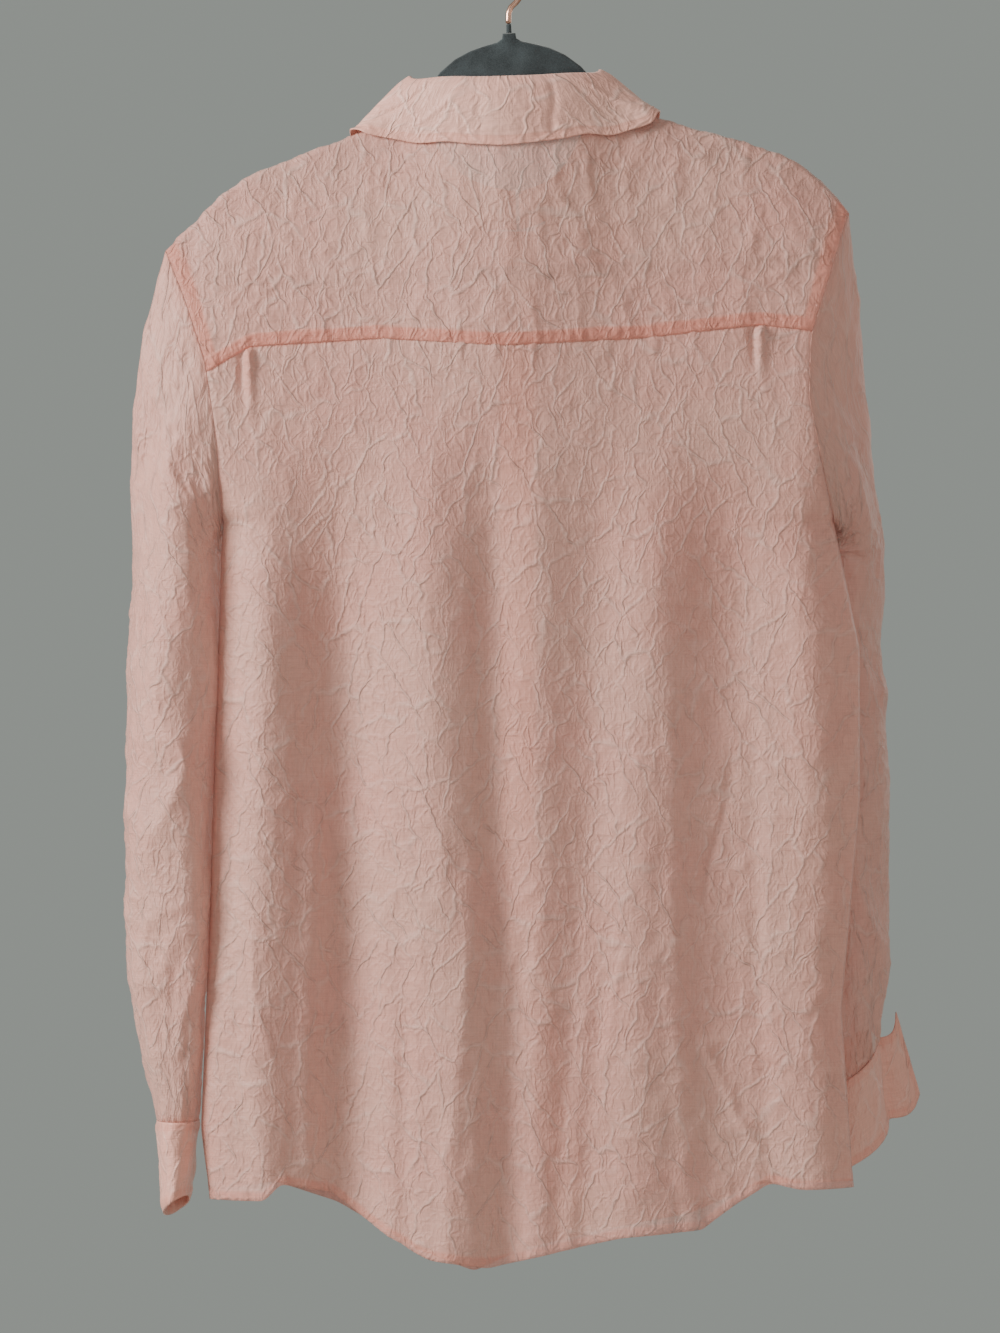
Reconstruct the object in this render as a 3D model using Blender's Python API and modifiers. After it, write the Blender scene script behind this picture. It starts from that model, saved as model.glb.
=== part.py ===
"""Long-sleeved shirt-blouse of crinkled silk, hanging flat on a slim flocked hanger.

Units: the tables below are in millimetres and each finished mesh is in metres.
Frame: origin at the inside of the top of the hanger's hook, +Z up, +X to the right as the
back of the blouse is looked at, +Y from the back of the blouse to its front.

Every cloth piece is an open grid laid on one form, the shape that the hanging blouse takes,
and gets its wall from a Solidify modifier. A point of the form is given by x and by w, the
way down from the crest of the shoulders: w below 0 runs down the back, above 0 down the front.
"""
import math
from collections import namedtuple

import bmesh
import bpy
from mathutils import Matrix, Vector

MM = 0.001

# --- Driving dimensions, in millimetres ---
CLOTH = 1.2            # wall of a single cloth
DOUBLE_CLOTH = 1.6     # wall of collar, cuffs and plackets, which are sewn double
SEAM_GAP = 0.5         # from edge to edge where two pieces are sewn together
LAY_GAP = 0.45         # between a piece that lies on a panel and that panel
CREST_RADIUS = 4.5     # round of the cloth over the hanger's top edge
BACK_SLANT = 22.0      # how far the back hangs behind the hanger's plane
FRONT_SLANT = 24.0     # how far the fronts hang before it
SLANT_REACH = 90.0     # way down over which they get there
NECK_HALF = 62.0       # half width of the neck
BACK_NECK_BULGE = 10.0
FRONT_NECK_BULGE = 14.0
YOKE_FRONT = 35.0      # way down the front to the yoke's front seam
NECK_W = 11.3          # way down the back to the neck's corners
UNDERARM_Z = -380.0
ARMHOLE_ROUND = 80.0   # height over which the armhole closes to the underarm
PLACKET_WIDTH = 24.0
STAND_HEIGHT = 25.0
BACK_RISE = 4.5                     # the stand is this much taller at the back of the neck
LEAF_LIFT = 2.6        # middle of the collar's leaf above the middle of the panel it lies on
FRONT_NECK_Z = -190.0
HANGER_TILT = math.radians(2.4)
HANGER_THICK = 5.6
REST_GAP = 2.7         # from the hanger's top edge to the middle of the cloth on it
WIRE = 3.8
HOOK_INNER = 38.0
HUB_Z = -62.0
BUTTON_WIDTH = 10.0
BUTTON_THICK = 2.2

# --- Tables, in millimetres ---
Arm = namedtuple("Arm", "x top bottom")
HANGER_ARM = [         # one arm of the hanger, from its hub out
    Arm(8, -67.5, -96), Arm(18, -70, -97), Arm(26, -72.5, -99), Arm(36, -77.5, -103), Arm(46, -85.5, -108.5),
    Arm(66, -110, -125), Arm(100, -126, -141), Arm(160, -145.5, -162), Arm(178, -153.5, -172),
    Arm(190, -161, -180), Arm(200, -170, -192),
]
HUB_TOP = ((4.2, -62.0), (4.7, -65.5))      # half of the small boss under the wire's foot
HANGER_BAR = (-214.0, -223.0)       # top and bottom of the trouser bar
BAR_END = (186.0, 205.0)            # inside and outside of the bar's ends
CREST_CENTRE_Z = -70.0
LEFT_TIP = (-221.0, -204.0)         # shoulder points, x and z
RIGHT_TIP = (224.0, -179.0)

Edge = namedtuple("Edge", "z x y")
LEFT_EDGE = [          # left armhole, then left side seam, from the shoulder down
    Edge(-204, -221, 0), Edge(-237, -208, 0), Edge(-276, -195, 0), Edge(-330, -187, 0),
    Edge(-380, -184, -2), Edge(-497, -188, -4), Edge(-627, -192, -4), Edge(-705, -195, -4),
    Edge(-776, -198, -4), Edge(-824, -192, -3),
]
RIGHT_EDGE = [
    Edge(-178, 224, 0), Edge(-230, 208, 0), Edge(-262, 198, 0), Edge(-300, 197, 0),
    Edge(-335, 204, 0), Edge(-380, 214, -3), Edge(-464, 231, -8), Edge(-562, 231, -10),
    Edge(-698, 219, -10), Edge(-815, 227, -8),
]
Line = namedtuple("Line", "x z")
YOKE_SEAM = [
    Line(-230, -292), Line(-195, -284), Line(-166, -267), Line(-81, -262), Line(0, -267),
    Line(88, -262), Line(166, -253), Line(230, -260),
]
BACK_HEM = [
    Line(-200, -822), Line(-156, -822), Line(-146, -811), Line(-114, -817), Line(-75, -845),
    Line(-49, -860), Line(-10, -866), Line(36, -855), Line(75, -846), Line(127, -841),
    Line(153, -823), Line(172, -811), Line(192, -815), Line(232, -814),
]
FRONT_HEM = [
    Line(-200, -818), Line(-150, -812), Line(-110, -826), Line(-60, -856), Line(-20, -872),
    Line(10, -858), Line(60, -846), Line(120, -834), Line(165, -814), Line(232, -810),
]
PLACKET_LINE = [       # middle of the buttoned fronts, which swings to the right low down
    Line(9, -180), Line(9, -560), Line(13, -660), Line(26, -724), Line(45, -848), Line(47, -880),
]
Fold = namedtuple("Fold", "x_top x_low z_top width height")
BACK_FOLDS = [         # ridges stand out behind, troughs are below 0
    Fold(-178, -176, -330, 15, 4.0), Fold(-142, -134, -300, 24, -8.0), Fold(-90, -56, -290, 22, 6.0),
    Fold(-26, -4, -280, 20, -5.0), Fold(10, 14, -290, 13, 2.5), Fold(40, 26, -300, 15, -4.5),
    Fold(80, 66, -300, 18, 5.0), Fold(121, 100, -290, 20, -5.0), Fold(172, 196, -300, 20, 4.0),
]
FRONT_FOLDS = [
    Fold(-165, -160, -420, 16, -3.0), Fold(-120, -100, -480, 22, 4.0), Fold(-60, -50, -420, 18, -4.0),
    Fold(70, 90, -480, 20, 4.0), Fold(130, 140, -460, 18, -4.0),
]
BACK_LEVELS = [-265, -288, -314, -342, -362, -380, -405, -431, -457, -500, -545, -590, -640, -690,
               -740, -785, -822, -850]
FRONT_LEVELS = [-190, -215, -245, -275, -308, -342, -362, -380, -405, -431, -457, -500, -545, -590,
                -640, -690, -740, -785, -822, -850]
PLACKET_LEVELS = FRONT_LEVELS
POCKET_ROWS = (5, 10)               # rows of FRONT_LEVELS at the pockets' top and bottom
SIDE_SHARES = (0.0, 0.05, 0.15, 0.30, 0.50, 0.75, 1.0)
LEFT_KNEE = -150.0                  # where the even columns of the left half start
RIGHT_KNEE = 164.0
LEFT_SHARES = (0.0, 0.10, 0.20, 0.296, 0.401, 0.52, 0.64, 0.76, 0.88, 1.0)
RIGHT_SHARES = (0.0, 0.10, 0.19, 0.287, 0.43, 0.57, 0.71, 0.86, 1.0)
LEFT_POCKET = (3, 9)                # columns of the left front at the pocket's sides
RIGHT_POCKET = (3, 8)
NECK_COLUMNS = 8
YOKE_ROWS = (1.0, 0.8, 0.6, 0.4, 0.2, 0.0)
CREST_ROWS = (-5.0, 0.0, 5.0, 12.0, YOKE_FRONT)

Ring = namedtuple("Ring", "z x_out x_in y_back y_front tilt")
LEFT_SLEEVE = [        # tilt is how far the ring's outer side is higher than its inner side
    Ring(-402, -243, -188, -24, 60, 0), Ring(-450, -245, -190.5, -26, 60, 0),
    Ring(-510, -246, -193, -27, 60, 0), Ring(-570, -245, -195.5, -26, 60, 0),
    Ring(-625, -244, -198, -26, 58, 0), Ring(-675, -241, -200, -24, 56, 0),
    Ring(-725, -234, -200.5, -20, 54, 0), Ring(-772, -227, -201, -17, 52, 0),
]
RIGHT_SLEEVE = [
    Ring(-402, 249, 176, 15, 82, 0), Ring(-450, 250, 176, 16, 84, 0),
    Ring(-510, 250, 178, 17, 84, 0), Ring(-570, 251, 182, 17, 82, 0),
    Ring(-625, 251, 188, 17, 80, 4), Ring(-675, 252, 196, 18, 76, 12),
    Ring(-715, 248, 202, 19, 72, 24), Ring(-734, 244, 205, 20, 70, 34),
]
LEFT_CUFF = [
    Ring(-772.9, -227, -201, -17, 52, 0), Ring(-802, -225, -204, -17, 52, -6),
    Ring(-828, -223, -207, -16, 51, -15),
]
RIGHT_CUFF = [
    Ring(-734.9, 244, 205, 20, 70, 34), Ring(-762, 248, 207, 20, 72, 34),
    Ring(-788, 252, 209, 20, 74, 36),
]
CAP_SHARES = (0.0, 0.14, 0.30, 0.48, 0.72)   # rings between the armhole and the first section
CUFF_FLAP = ((258.0, 55.0, -703.0), (274.0, 62.0, -757.0))      # top and bottom of the open cuff's free end
Leaf = namedtuple("Leaf", "station x w")
LEAF_EDGE = [          # the collar leaf's outer edge on the form: station 0 is its left point,
    Leaf(0.0, -50, 138), Leaf(0.4, -78, 84), Leaf(0.75, -96, 24), Leaf(0.88, -100, 8),
    Leaf(1.0, -101, 0), Leaf(1.12, -96, -3), Leaf(1.25, -89, -7), Leaf(1.4, -78, -15),
    Leaf(1.55, -64, -25), Leaf(1.7, -45, -48), Leaf(1.85, -23, -60), Leaf(2.0, 0, -69.6),
    Leaf(2.15, 23, -61.3), Leaf(2.3, 44, -53.3), Leaf(2.45, 62, -37), Leaf(2.6, 77, -23),
    Leaf(2.75, 89, -14.6), Leaf(2.88, 96, -9), Leaf(3.0, 101, 0), Leaf(3.12, 100, 8),
    Leaf(3.25, 97, 24), Leaf(3.6, 80, 84),
    Leaf(4.0, 66, 138),  # 1 and 3 are on the crest, 2 is the middle of the back, 4 its right point
]
FRONT_BUTTON_Z = (-252, -337, -422, -507, -592, -677, -762)

Finish = namedtuple("Finish", "colour roughness metallic")
FINISHES = {
    "silk": Finish((0.58, 0.39, 0.33), 0.55, 0.0),
    "silk_double": Finish((0.66, 0.45, 0.38), 0.55, 0.0),
    "flock": Finish((0.04, 0.05, 0.055), 0.95, 0.0),
    "copper_plate": Finish((0.70, 0.42, 0.32), 0.25, 1.0),
    "shell": Finish((0.72, 0.60, 0.55), 0.30, 0.0),
}


# --- Small helpers ---

def interpolate(rows, value, key, *fields):
    """Straight-line reading of a table at one value of its key column."""
    ordered = sorted(rows, key=lambda row: getattr(row, key))
    low = ordered[0]
    for high in ordered[1:]:
        if value <= getattr(high, key) or high is ordered[-1]:
            span = getattr(high, key) - getattr(low, key)
            share = min(max((value - getattr(low, key)) / span, 0.0), 1.0)
            found = [getattr(low, f) + share * (getattr(high, f) - getattr(low, f)) for f in fields]
            return found[0] if len(found) == 1 else found
        low = high
    return None


def smooth(value):
    """0 to 1 with level ends."""
    value = min(max(value, 0.0), 1.0)
    return value * value * (3.0 - 2.0 * value)


def tilted(x, z):
    """A point of the hanger's own plane, turned with the hanger about the hook's top."""
    return (x * math.cos(HANGER_TILT) - z * math.sin(HANGER_TILT),
            x * math.sin(HANGER_TILT) + z * math.cos(HANGER_TILT))


# --- The form ---

def crest_table():
    """The crest of the shoulders: it rests on the hanger's arms and ends at the shoulder points."""
    rows = [Line(*LEFT_TIP), Line(0, CREST_CENTRE_Z), Line(*RIGHT_TIP)]
    for arm in HANGER_ARM[4:]:
        for side in (-1, 1):
            x, z = tilted(side * arm.x, arm.top)
            rows.append(Line(x, z + REST_GAP))
    return rows


CREST = crest_table()


def crest(x):
    return interpolate(CREST, x, "x", "z")


def drop(w):
    """Height below the crest at way w."""
    bend = min(abs(w) / CREST_RADIUS, math.pi / 2)
    return CREST_RADIUS * (1.0 - math.cos(bend)) + abs(w) - bend * CREST_RADIUS


def way(depth):
    """The way down, without its sign, at a height below the crest of a radius or more."""
    return depth - CREST_RADIUS + CREST_RADIUS * math.pi / 2


def form_y(x, depth, front):
    """Distance from the hanger's plane at a height below the crest, before the sides close."""
    depth = max(depth, 0.0)
    round_part = CREST_RADIUS
    if depth < CREST_RADIUS:
        round_part = math.sqrt(CREST_RADIUS ** 2 - (CREST_RADIUS - depth) ** 2)
    below = max(depth - CREST_RADIUS, 0.0)
    slant = FRONT_SLANT if front else BACK_SLANT
    bulge = FRONT_NECK_BULGE if front else BACK_NECK_BULGE
    bulge *= math.exp(-(x / 60.0) ** 2) * (1.0 - math.exp(-below / 35.0))
    bulge *= math.exp(-max(depth - 180.0, 0.0) / 200.0)
    return round_part + slant * (1.0 - math.exp(-below / SLANT_REACH)) + bulge


def edge_table(side):
    return LEFT_EDGE if side < 0 else RIGHT_EDGE


def fold_height(folds, x, z):
    total = 0.0
    for fold in folds:
        share = min(max((fold.z_top - z) / (fold.z_top + 850.0), 0.0), 1.0)
        middle = fold.x_top + share * (fold.x_low - fold.x_top)
        grown = smooth((fold.z_top - z) / 140.0)
        total += fold.height * grown * math.exp(-((x - middle) / fold.width) ** 2)
    return total


def body_y(x, z, front):
    """Where the hanging cloth of the back or of the fronts lies at x and z."""
    side = -1 if x < 0 else 1
    edge_x, edge_y = interpolate(edge_table(side), z, "z", "x", "y")
    full = form_y(x, crest(x) - z, front)
    start = 50.0 if front else 100.0
    out = min(max((abs(x) - start) / (abs(edge_x) - start), 0.0), 1.0)
    closed = (1.0 - out ** 2) ** 0.8 if front else math.sqrt(1.0 - out ** 3)
    opening = 1.0
    if z < UNDERARM_Z + ARMHOLE_ROUND:
        opening = math.sqrt(max(1.0 - ((UNDERARM_Z + ARMHOLE_ROUND - z) / ARMHOLE_ROUND) ** 2, 0.0)) \
            if z > UNDERARM_Z else 0.0
    share = opening + (1.0 - opening) * closed
    full += fold_height(FRONT_FOLDS if front else BACK_FOLDS, x, z) * min(closed * 1.2, 1.0)
    hinge = edge_y + (0.55 if front else -0.55) * (1.0 - opening)
    direction = 1.0 if front else -1.0
    return hinge + (direction * full - hinge) * share


def on_form(x, w, lift=0.0):
    """A point of the form near the crest, moved out by lift along the form's normal."""
    front = w > 0
    direction = 1.0 if front else -1.0

    def place(x_here, w_here):
        depth = drop(w_here)
        return Vector((x_here, direction * form_y(x_here, depth, front), crest(x_here) - depth))

    point = place(x, w)
    if not lift:
        return point
    step = 0.5
    along = place(x + step, w) - place(x - step, w)
    down = place(x, w + direction * step) - point
    if down.length < 1e-6:
        down = Vector((0.0, direction, 0.0))
    normal = along.cross(down).normalized() * -direction
    if normal.y * direction < 0 and abs(w) > 1e-6:
        normal = -normal
    if abs(w) <= 1e-6:
        normal = Vector((0.0, 0.0, 1.0))
    return point + normal * lift


# --- Sheets ---

def sheet_mesh(columns, rows, place, closed=False, keep=None):
    """A grid of columns by rows points, each moved to place(column, row), in metres."""
    mesh = bmesh.new()
    bmesh.ops.create_grid(mesh, x_segments=columns - 1, y_segments=rows - 1, size=0.5)
    mesh.verts.ensure_lookup_table()
    for row in range(rows):
        for column in range(columns):
            mesh.verts[row * columns + column].co = place(column, row) * MM
    if keep:
        loose = [face for face in mesh.faces
                 if not keep(*[sorted({v.index % columns for v in face.verts})[0],
                               sorted({v.index // columns for v in face.verts})[0]])]
        bmesh.ops.delete(mesh, geom=loose, context="FACES")
    if closed:
        bmesh.ops.remove_doubles(mesh, verts=mesh.verts, dist=0.00001)
    return mesh


def make_object(name, mesh, finish, collection, wall=0.0, smooth_shade=True):
    data = bpy.data.meshes.new(name)
    mesh.to_mesh(data)
    mesh.free()
    made = bpy.data.objects.new(name, data)
    collection.objects.link(made)
    data.materials.append(material(name, finish))
    if smooth_shade:
        data.shade_smooth()
    if wall:
        solid = made.modifiers.new("Wall", "SOLIDIFY")
        solid.thickness = wall * MM
        solid.offset = 0.0
        solid.use_quality_normals = True
    return made


def material(name, finish):
    values = FINISHES[finish]
    made = bpy.data.materials.new(f"{name}_{finish}")
    made.use_nodes = True
    shader = made.node_tree.nodes["Principled BSDF"]
    shader.inputs["Base Color"].default_value = (*values.colour, 1.0)
    shader.inputs["Roughness"].default_value = values.roughness
    shader.inputs["Metallic"].default_value = values.metallic
    return made


# --- Columns and rows of the body ---

def level_z(level, x, top, top_level, settle_level, hem):
    """Height of a row at x: it follows the top edge near the top and the hem near the hem."""
    near_top = min(max((level - settle_level) / (top_level - settle_level), 0.0), 1.0)
    hem_level = -850.0
    near_hem = min(max((-690.0 - level) / (-690.0 - hem_level), 0.0), 1.0)
    return level + (top - top_level) * near_top + (interpolate(hem, x, "x", "z") - hem_level) * near_hem


def front_top(x):
    """Top edge of the fronts: the yoke's front seam, then the neck."""
    if abs(x) >= NECK_HALF:
        return crest(x) - drop(YOKE_FRONT) - 2 * SEAM_GAP
    corner = crest(math.copysign(NECK_HALF, x)) - drop(YOKE_FRONT) - 2 * SEAM_GAP
    return corner - (corner - FRONT_NECK_Z) * math.sqrt(1.0 - (x / NECK_HALF) ** 2)


def back_neck_z(x):
    """The neck's edge across the back."""
    left = crest(-NECK_HALF) - drop(NECK_W)
    right = crest(NECK_HALF) - drop(NECK_W)
    middle = left + (right - left) * (x + NECK_HALF) / (2 * NECK_HALF)
    return middle - 12.0 * math.sqrt(max(1.0 - (x / NECK_HALF) ** 2, 0.0))


def settle(edge, side, height_at):
    """x and z of a row's end on a side edge, where the height depends on x."""
    x = side * 205.0
    z = height_at(x)
    for _ in range(6):
        x = interpolate(edge, z, "z", "x")
        z = height_at(x)
    return x, z


def back_columns(edge_left, edge_right):
    """x of each column of the back and the yoke for one row."""
    left = [edge_left + share * (LEFT_KNEE - edge_left) for share in SIDE_SHARES[:-1]]
    left += [LEFT_KNEE + step / 5 * (-NECK_HALF - LEFT_KNEE) for step in range(5)]
    middle = [-NECK_HALF + step / NECK_COLUMNS * 2 * NECK_HALF for step in range(NECK_COLUMNS)]
    right = [NECK_HALF + step / 5 * (RIGHT_KNEE - NECK_HALF) for step in range(5)]
    right += [edge_right + share * (RIGHT_KNEE - edge_right) for share in reversed(SIDE_SHARES)]
    return left + middle + right


LEFT_NECK_COLUMN = len(SIDE_SHARES) - 1 + 5
RIGHT_NECK_COLUMN = LEFT_NECK_COLUMN + NECK_COLUMNS
BACK_COLUMN_COUNT = RIGHT_NECK_COLUMN + 5 + len(SIDE_SHARES)


def back_point(column, level):
    def height(x):
        top = interpolate(YOKE_SEAM, x, "x", "z") - SEAM_GAP
        return level_z(level, x, top, BACK_LEVELS[0], -342.0, BACK_HEM)

    ends = [settle(edge_table(side), side, height)[0] for side in (-1, 1)]
    x = back_columns(*ends)[column]
    z = height(x)
    return Vector((x, body_y(x, z, False), z))


def yoke_point(column, row):
    """Rows run from the back seam up to the neck's level, over the crest and down the front."""
    def depth(x):
        if row < len(YOKE_ROWS):
            neck = drop(NECK_W)
            if abs(x) < NECK_HALF:
                neck = crest(x) - back_neck_z(x)
            seam = crest(x) - interpolate(YOKE_SEAM, x, "x", "z")
            return neck + YOKE_ROWS[row] * (seam - neck)
        return drop(CREST_ROWS[row - len(YOKE_ROWS)])

    ends = [settle(edge_table(side), side, lambda x: crest(x) - depth(x))[0] for side in (-1, 1)]
    x = back_columns(*ends)[column]
    front = row >= len(YOKE_ROWS) and CREST_ROWS[row - len(YOKE_ROWS)] > 0
    z = crest(x) - depth(x)
    return Vector((x, body_y(x, z, front), z))


def placket_x(z):
    return interpolate(PLACKET_LINE, z, "z", "x")


def front_point(side, column, level):
    """Columns run from the placket's edge out to the side seam."""
    shares = LEFT_SHARES if side < 0 else RIGHT_SHARES
    knee = LEFT_KNEE if side < 0 else RIGHT_KNEE

    def height(x):
        return level_z(level, x, front_top(x), FRONT_LEVELS[0], -342.0, FRONT_HEM)

    if column < len(shares):
        inner = placket_x(level) + side * (PLACKET_WIDTH / 2 + SEAM_GAP)
        x = inner + shares[column] * (knee - inner)
    else:
        edge_x = settle(edge_table(side), side, height)[0]
        share = list(reversed(SIDE_SHARES))[column - len(shares) + 1]
        x = edge_x + share * (knee - edge_x)
    z = height(x)
    return Vector((x, body_y(x, z, True), z))


def front_column_count(side):
    return len(LEFT_SHARES if side < 0 else RIGHT_SHARES) + len(SIDE_SHARES) - 1


def placket_point(across, level, lift):
    x = placket_x(level) + across * PLACKET_WIDTH / 2
    z = level_z(level, x, front_top(x), FRONT_LEVELS[0], -342.0, FRONT_HEM)
    return Vector((x, body_y(x, z, True) + lift, z))


def laid_on(point_at, column, row, lift):
    """A panel's grid point moved out along the panel's own normal."""
    point = point_at(column, row)
    along = point_at(column + 1, row) - point_at(column - 1, row)
    down = point_at(column, row + 1) - point_at(column, row - 1)
    normal = along.cross(down).normalized()
    if normal.y < 0:
        normal = -normal
    return point + normal * lift


# --- Body pieces ---

def make_back(parts):
    mesh = sheet_mesh(BACK_COLUMN_COUNT, len(BACK_LEVELS),
                      lambda column, row: back_point(column, BACK_LEVELS[row]))
    make_object("back_panel", mesh, "silk", parts, CLOTH)


def make_yoke(parts):
    rows = len(YOKE_ROWS) + len(CREST_ROWS)

    def keep(column, row):
        return row < len(YOKE_ROWS) - 1 or not LEFT_NECK_COLUMN <= column < RIGHT_NECK_COLUMN

    mesh = sheet_mesh(BACK_COLUMN_COUNT, rows, yoke_point, keep=keep)
    make_object("yoke", mesh, "silk", parts, CLOTH)


def make_fronts(parts):
    for side, name in ((-1, "front_left"), (1, "front_right")):
        mesh = sheet_mesh(front_column_count(side), len(FRONT_LEVELS),
                          lambda column, row, side=side: front_point(side, column, FRONT_LEVELS[row]))
        make_object(name, mesh, "silk", parts, CLOTH)


def make_plackets(parts):
    """The button stand lies in the fronts' own surface and the buttonhole band lies on it."""
    over = DOUBLE_CLOTH + LAY_GAP
    for name, lift in (("placket_left", 0.0), ("placket_right", over)):
        mesh = sheet_mesh(3, len(PLACKET_LEVELS),
                          lambda column, row, lift=lift: placket_point(column - 1, PLACKET_LEVELS[row], lift))
        make_object(name, mesh, "silk_double", parts, DOUBLE_CLOTH)


def make_pockets(parts):
    lift = CLOTH + LAY_GAP
    for side, name, columns in ((-1, "pocket_left", LEFT_POCKET), (1, "pocket_right", RIGHT_POCKET)):
        first, last = columns
        top, bottom = POCKET_ROWS

        def at(column, row, side=side):
            return front_point(side, column, FRONT_LEVELS[row])

        mesh = sheet_mesh(last - first + 1, bottom - top + 1,
                          lambda column, row, at=at, first=first: laid_on(at, first + column, top + row, lift))
        make_object(name, mesh, "silk", parts, CLOTH)


# --- Collar ---

def neck_loop():
    """The neck seam as x and w on the form, from the left front end round the back."""
    middle = placket_x(FRONT_NECK_Z)

    def along_front(side):
        """The same columns as the front's own top edge, from the placket to the neck's corner."""
        shares = LEFT_SHARES if side < 0 else RIGHT_SHARES
        columns = [column for column in range(len(shares))
                   if abs(front_point(side, column, FRONT_LEVELS[0]).x) < NECK_HALF - 1.0]
        steps = [middle + side * 1.2] + [front_point(side, column, FRONT_LEVELS[0]).x for column in columns]
        return [(x, way(crest(x) - front_top(x))) for x in steps]

    front_left = along_front(-1)
    left_side = [(-NECK_HALF, w) for w in (YOKE_FRONT, 12.0, 5.0, 0.0, -5.0, -NECK_W)]
    back = []
    for step in range(1, NECK_COLUMNS):
        x = -NECK_HALF + step / NECK_COLUMNS * 2 * NECK_HALF
        back.append((x, -way(crest(x) - back_neck_z(x))))
    right_side = [(NECK_HALF, w) for w in (-NECK_W, -5.0, 0.0, 5.0, 12.0, YOKE_FRONT)]
    return front_left + left_side + back + right_side + along_front(1)[::-1]


def stand_rings():
    """Bottom and top of the stand: it rises from the neck seam and leans in a little."""
    centre = Vector((0.0, 6.0, 0.0))
    bottom = []
    top = []
    for x, w in neck_loop():
        point = on_form(x, w)
        inward = Vector((centre.x - point.x, centre.y - point.y, 0.0)).normalized()
        over_front = smooth(max(w, 0.0) / 90.0)
        behind = BACK_RISE if w < 0 else 0.0
        rise = STAND_HEIGHT + behind - (11.0 + behind) * math.exp(-(w / 26.0) ** 2) - 0.08 * x
        bottom.append(point + inward * 0.8 + Vector((0.0, 0.0, 1.1 + 0.6 * over_front)))
        top.append(point + inward * 3.0 + Vector((0.0, 0.0, rise)))
    return bottom, top


def neck_stations():
    """Station of each point of the neck loop, even between the crests and the ends."""
    loop = neck_loop()
    ways = [w for _, w in loop]
    crests = [index for index, w in enumerate(ways) if w == 0.0]
    marks = [0, crests[0], (crests[0] + crests[1]) / 2, crests[1], len(loop) - 1]
    stations = []
    for index in range(len(loop)):
        number = max(mark for mark in range(4) if marks[mark] <= index)
        stations.append(number + (index - marks[number]) / (marks[number + 1] - marks[number]))
    return stations


def clear_of_form(point):
    """Moves a point of the leaf out until it lies clear of the panels and of the crest."""
    if abs(point.x) < NECK_HALF:
        return point
    depth = crest(point.x) - point.z
    lift = LEAF_LIFT * (1.0 + 1.0 * math.exp(-max(depth, 0.0) / 15.0))
    above_axis = CREST_RADIUS - depth
    if above_axis > 0.0:
        scale = max((CREST_RADIUS + lift) / math.hypot(point.y, above_axis), 1.0)
        point.y *= scale
        point.z = crest(point.x) - CREST_RADIUS + above_axis * scale
        return point
    out = form_y(point.x, depth, point.y > 0) + lift
    point.y = math.copysign(max(abs(point.y), out), point.y)
    return point


def make_collar(parts):
    bottom, top = stand_rings()
    count = len(bottom)
    mesh = sheet_mesh(count, 3, lambda column, row: bottom[column].lerp(top[column], row / 2))
    make_object("collar_stand", mesh, "silk_double", parts, DOUBLE_CLOTH)

    stations = neck_stations()
    rows = ((0.0, 0.8, 2.6), (0.12, 4.0, 1.6), (0.4, 4.2, 0.0), (0.72, 2.0, 0.0), (1.0, 0.0, 0.0))

    def leaf_point(column, row):
        x, w = interpolate(LEAF_EDGE, stations[column], "station", "x", "w")
        outer = on_form(x, w, LEAF_LIFT)
        inward = top[column] - bottom[column]
        inward.z = 0.0
        outward = -inward.normalized()
        down, out, rise = rows[row]
        fold = top[column] + outward * 1.9
        return clear_of_form(fold.lerp(outer, down) + outward * out + Vector((0.0, 0.0, rise)))

    mesh = sheet_mesh(count, len(rows), leaf_point)
    make_object("collar_leaf", mesh, "silk_double", parts, DOUBLE_CLOTH)


# --- Sleeves and cuffs ---

def armhole_loop(side):
    """The armhole seam from the crest down the back to the underarm and up the front."""
    yoke_column = 0 if side < 0 else BACK_COLUMN_COUNT - 1
    crest_row = len(YOKE_ROWS) + CREST_ROWS.index(0.0)
    loop = [yoke_point(yoke_column, row) for row in range(crest_row, -1, -1)]
    loop += [back_point(yoke_column, level) for level in BACK_LEVELS[1:BACK_LEVELS.index(-380) + 1]]
    front_column = front_column_count(side) - 1
    front_levels = [level for level in FRONT_LEVELS if level > UNDERARM_Z]
    loop += [front_point(side, front_column, level) for level in reversed(front_levels)]
    loop += [yoke_point(yoke_column, crest_row + 2), yoke_point(yoke_column, crest_row + 1)]
    return loop


def loop_shares(loop):
    lengths = [0.0]
    for first, second in zip(loop, loop[1:] + loop[:1]):
        lengths.append(lengths[-1] + (second - first).length)
    return [length / lengths[-1] for length in lengths[:-1]]


def ring_point(ring, share, fold=0.0):
    """A point of a ring: share 0 is its outer side, 0.25 its back and 0.5 its inner side."""
    turn = 2.0 * math.pi * share
    middle_x = (ring.x_out + ring.x_in) / 2
    middle_y = (ring.y_back + ring.y_front) / 2
    reach = 1.0 + fold
    cos = math.copysign(abs(math.cos(turn)) ** 0.85, math.cos(turn))
    sin = math.copysign(abs(math.sin(turn)) ** 0.85, math.sin(turn))
    x = middle_x + (ring.x_out - ring.x_in) / 2 * cos * reach
    y = middle_y - (ring.y_front - ring.y_back) / 2 * sin * reach
    return Vector((x, y, ring.z + ring.tilt / 2 * (cos - sin) / 1.4))


def sleeve_fold(share, z, side):
    """Long soft folds down a sleeve, none at the armhole."""
    grown = smooth((-300.0 - z) / 160.0) * smooth((z + 790.0) / 120.0)
    waves = math.sin(2 * math.pi * (3 * share + 0.1 * side) + z / 140.0)
    return 0.06 * grown * waves


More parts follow.
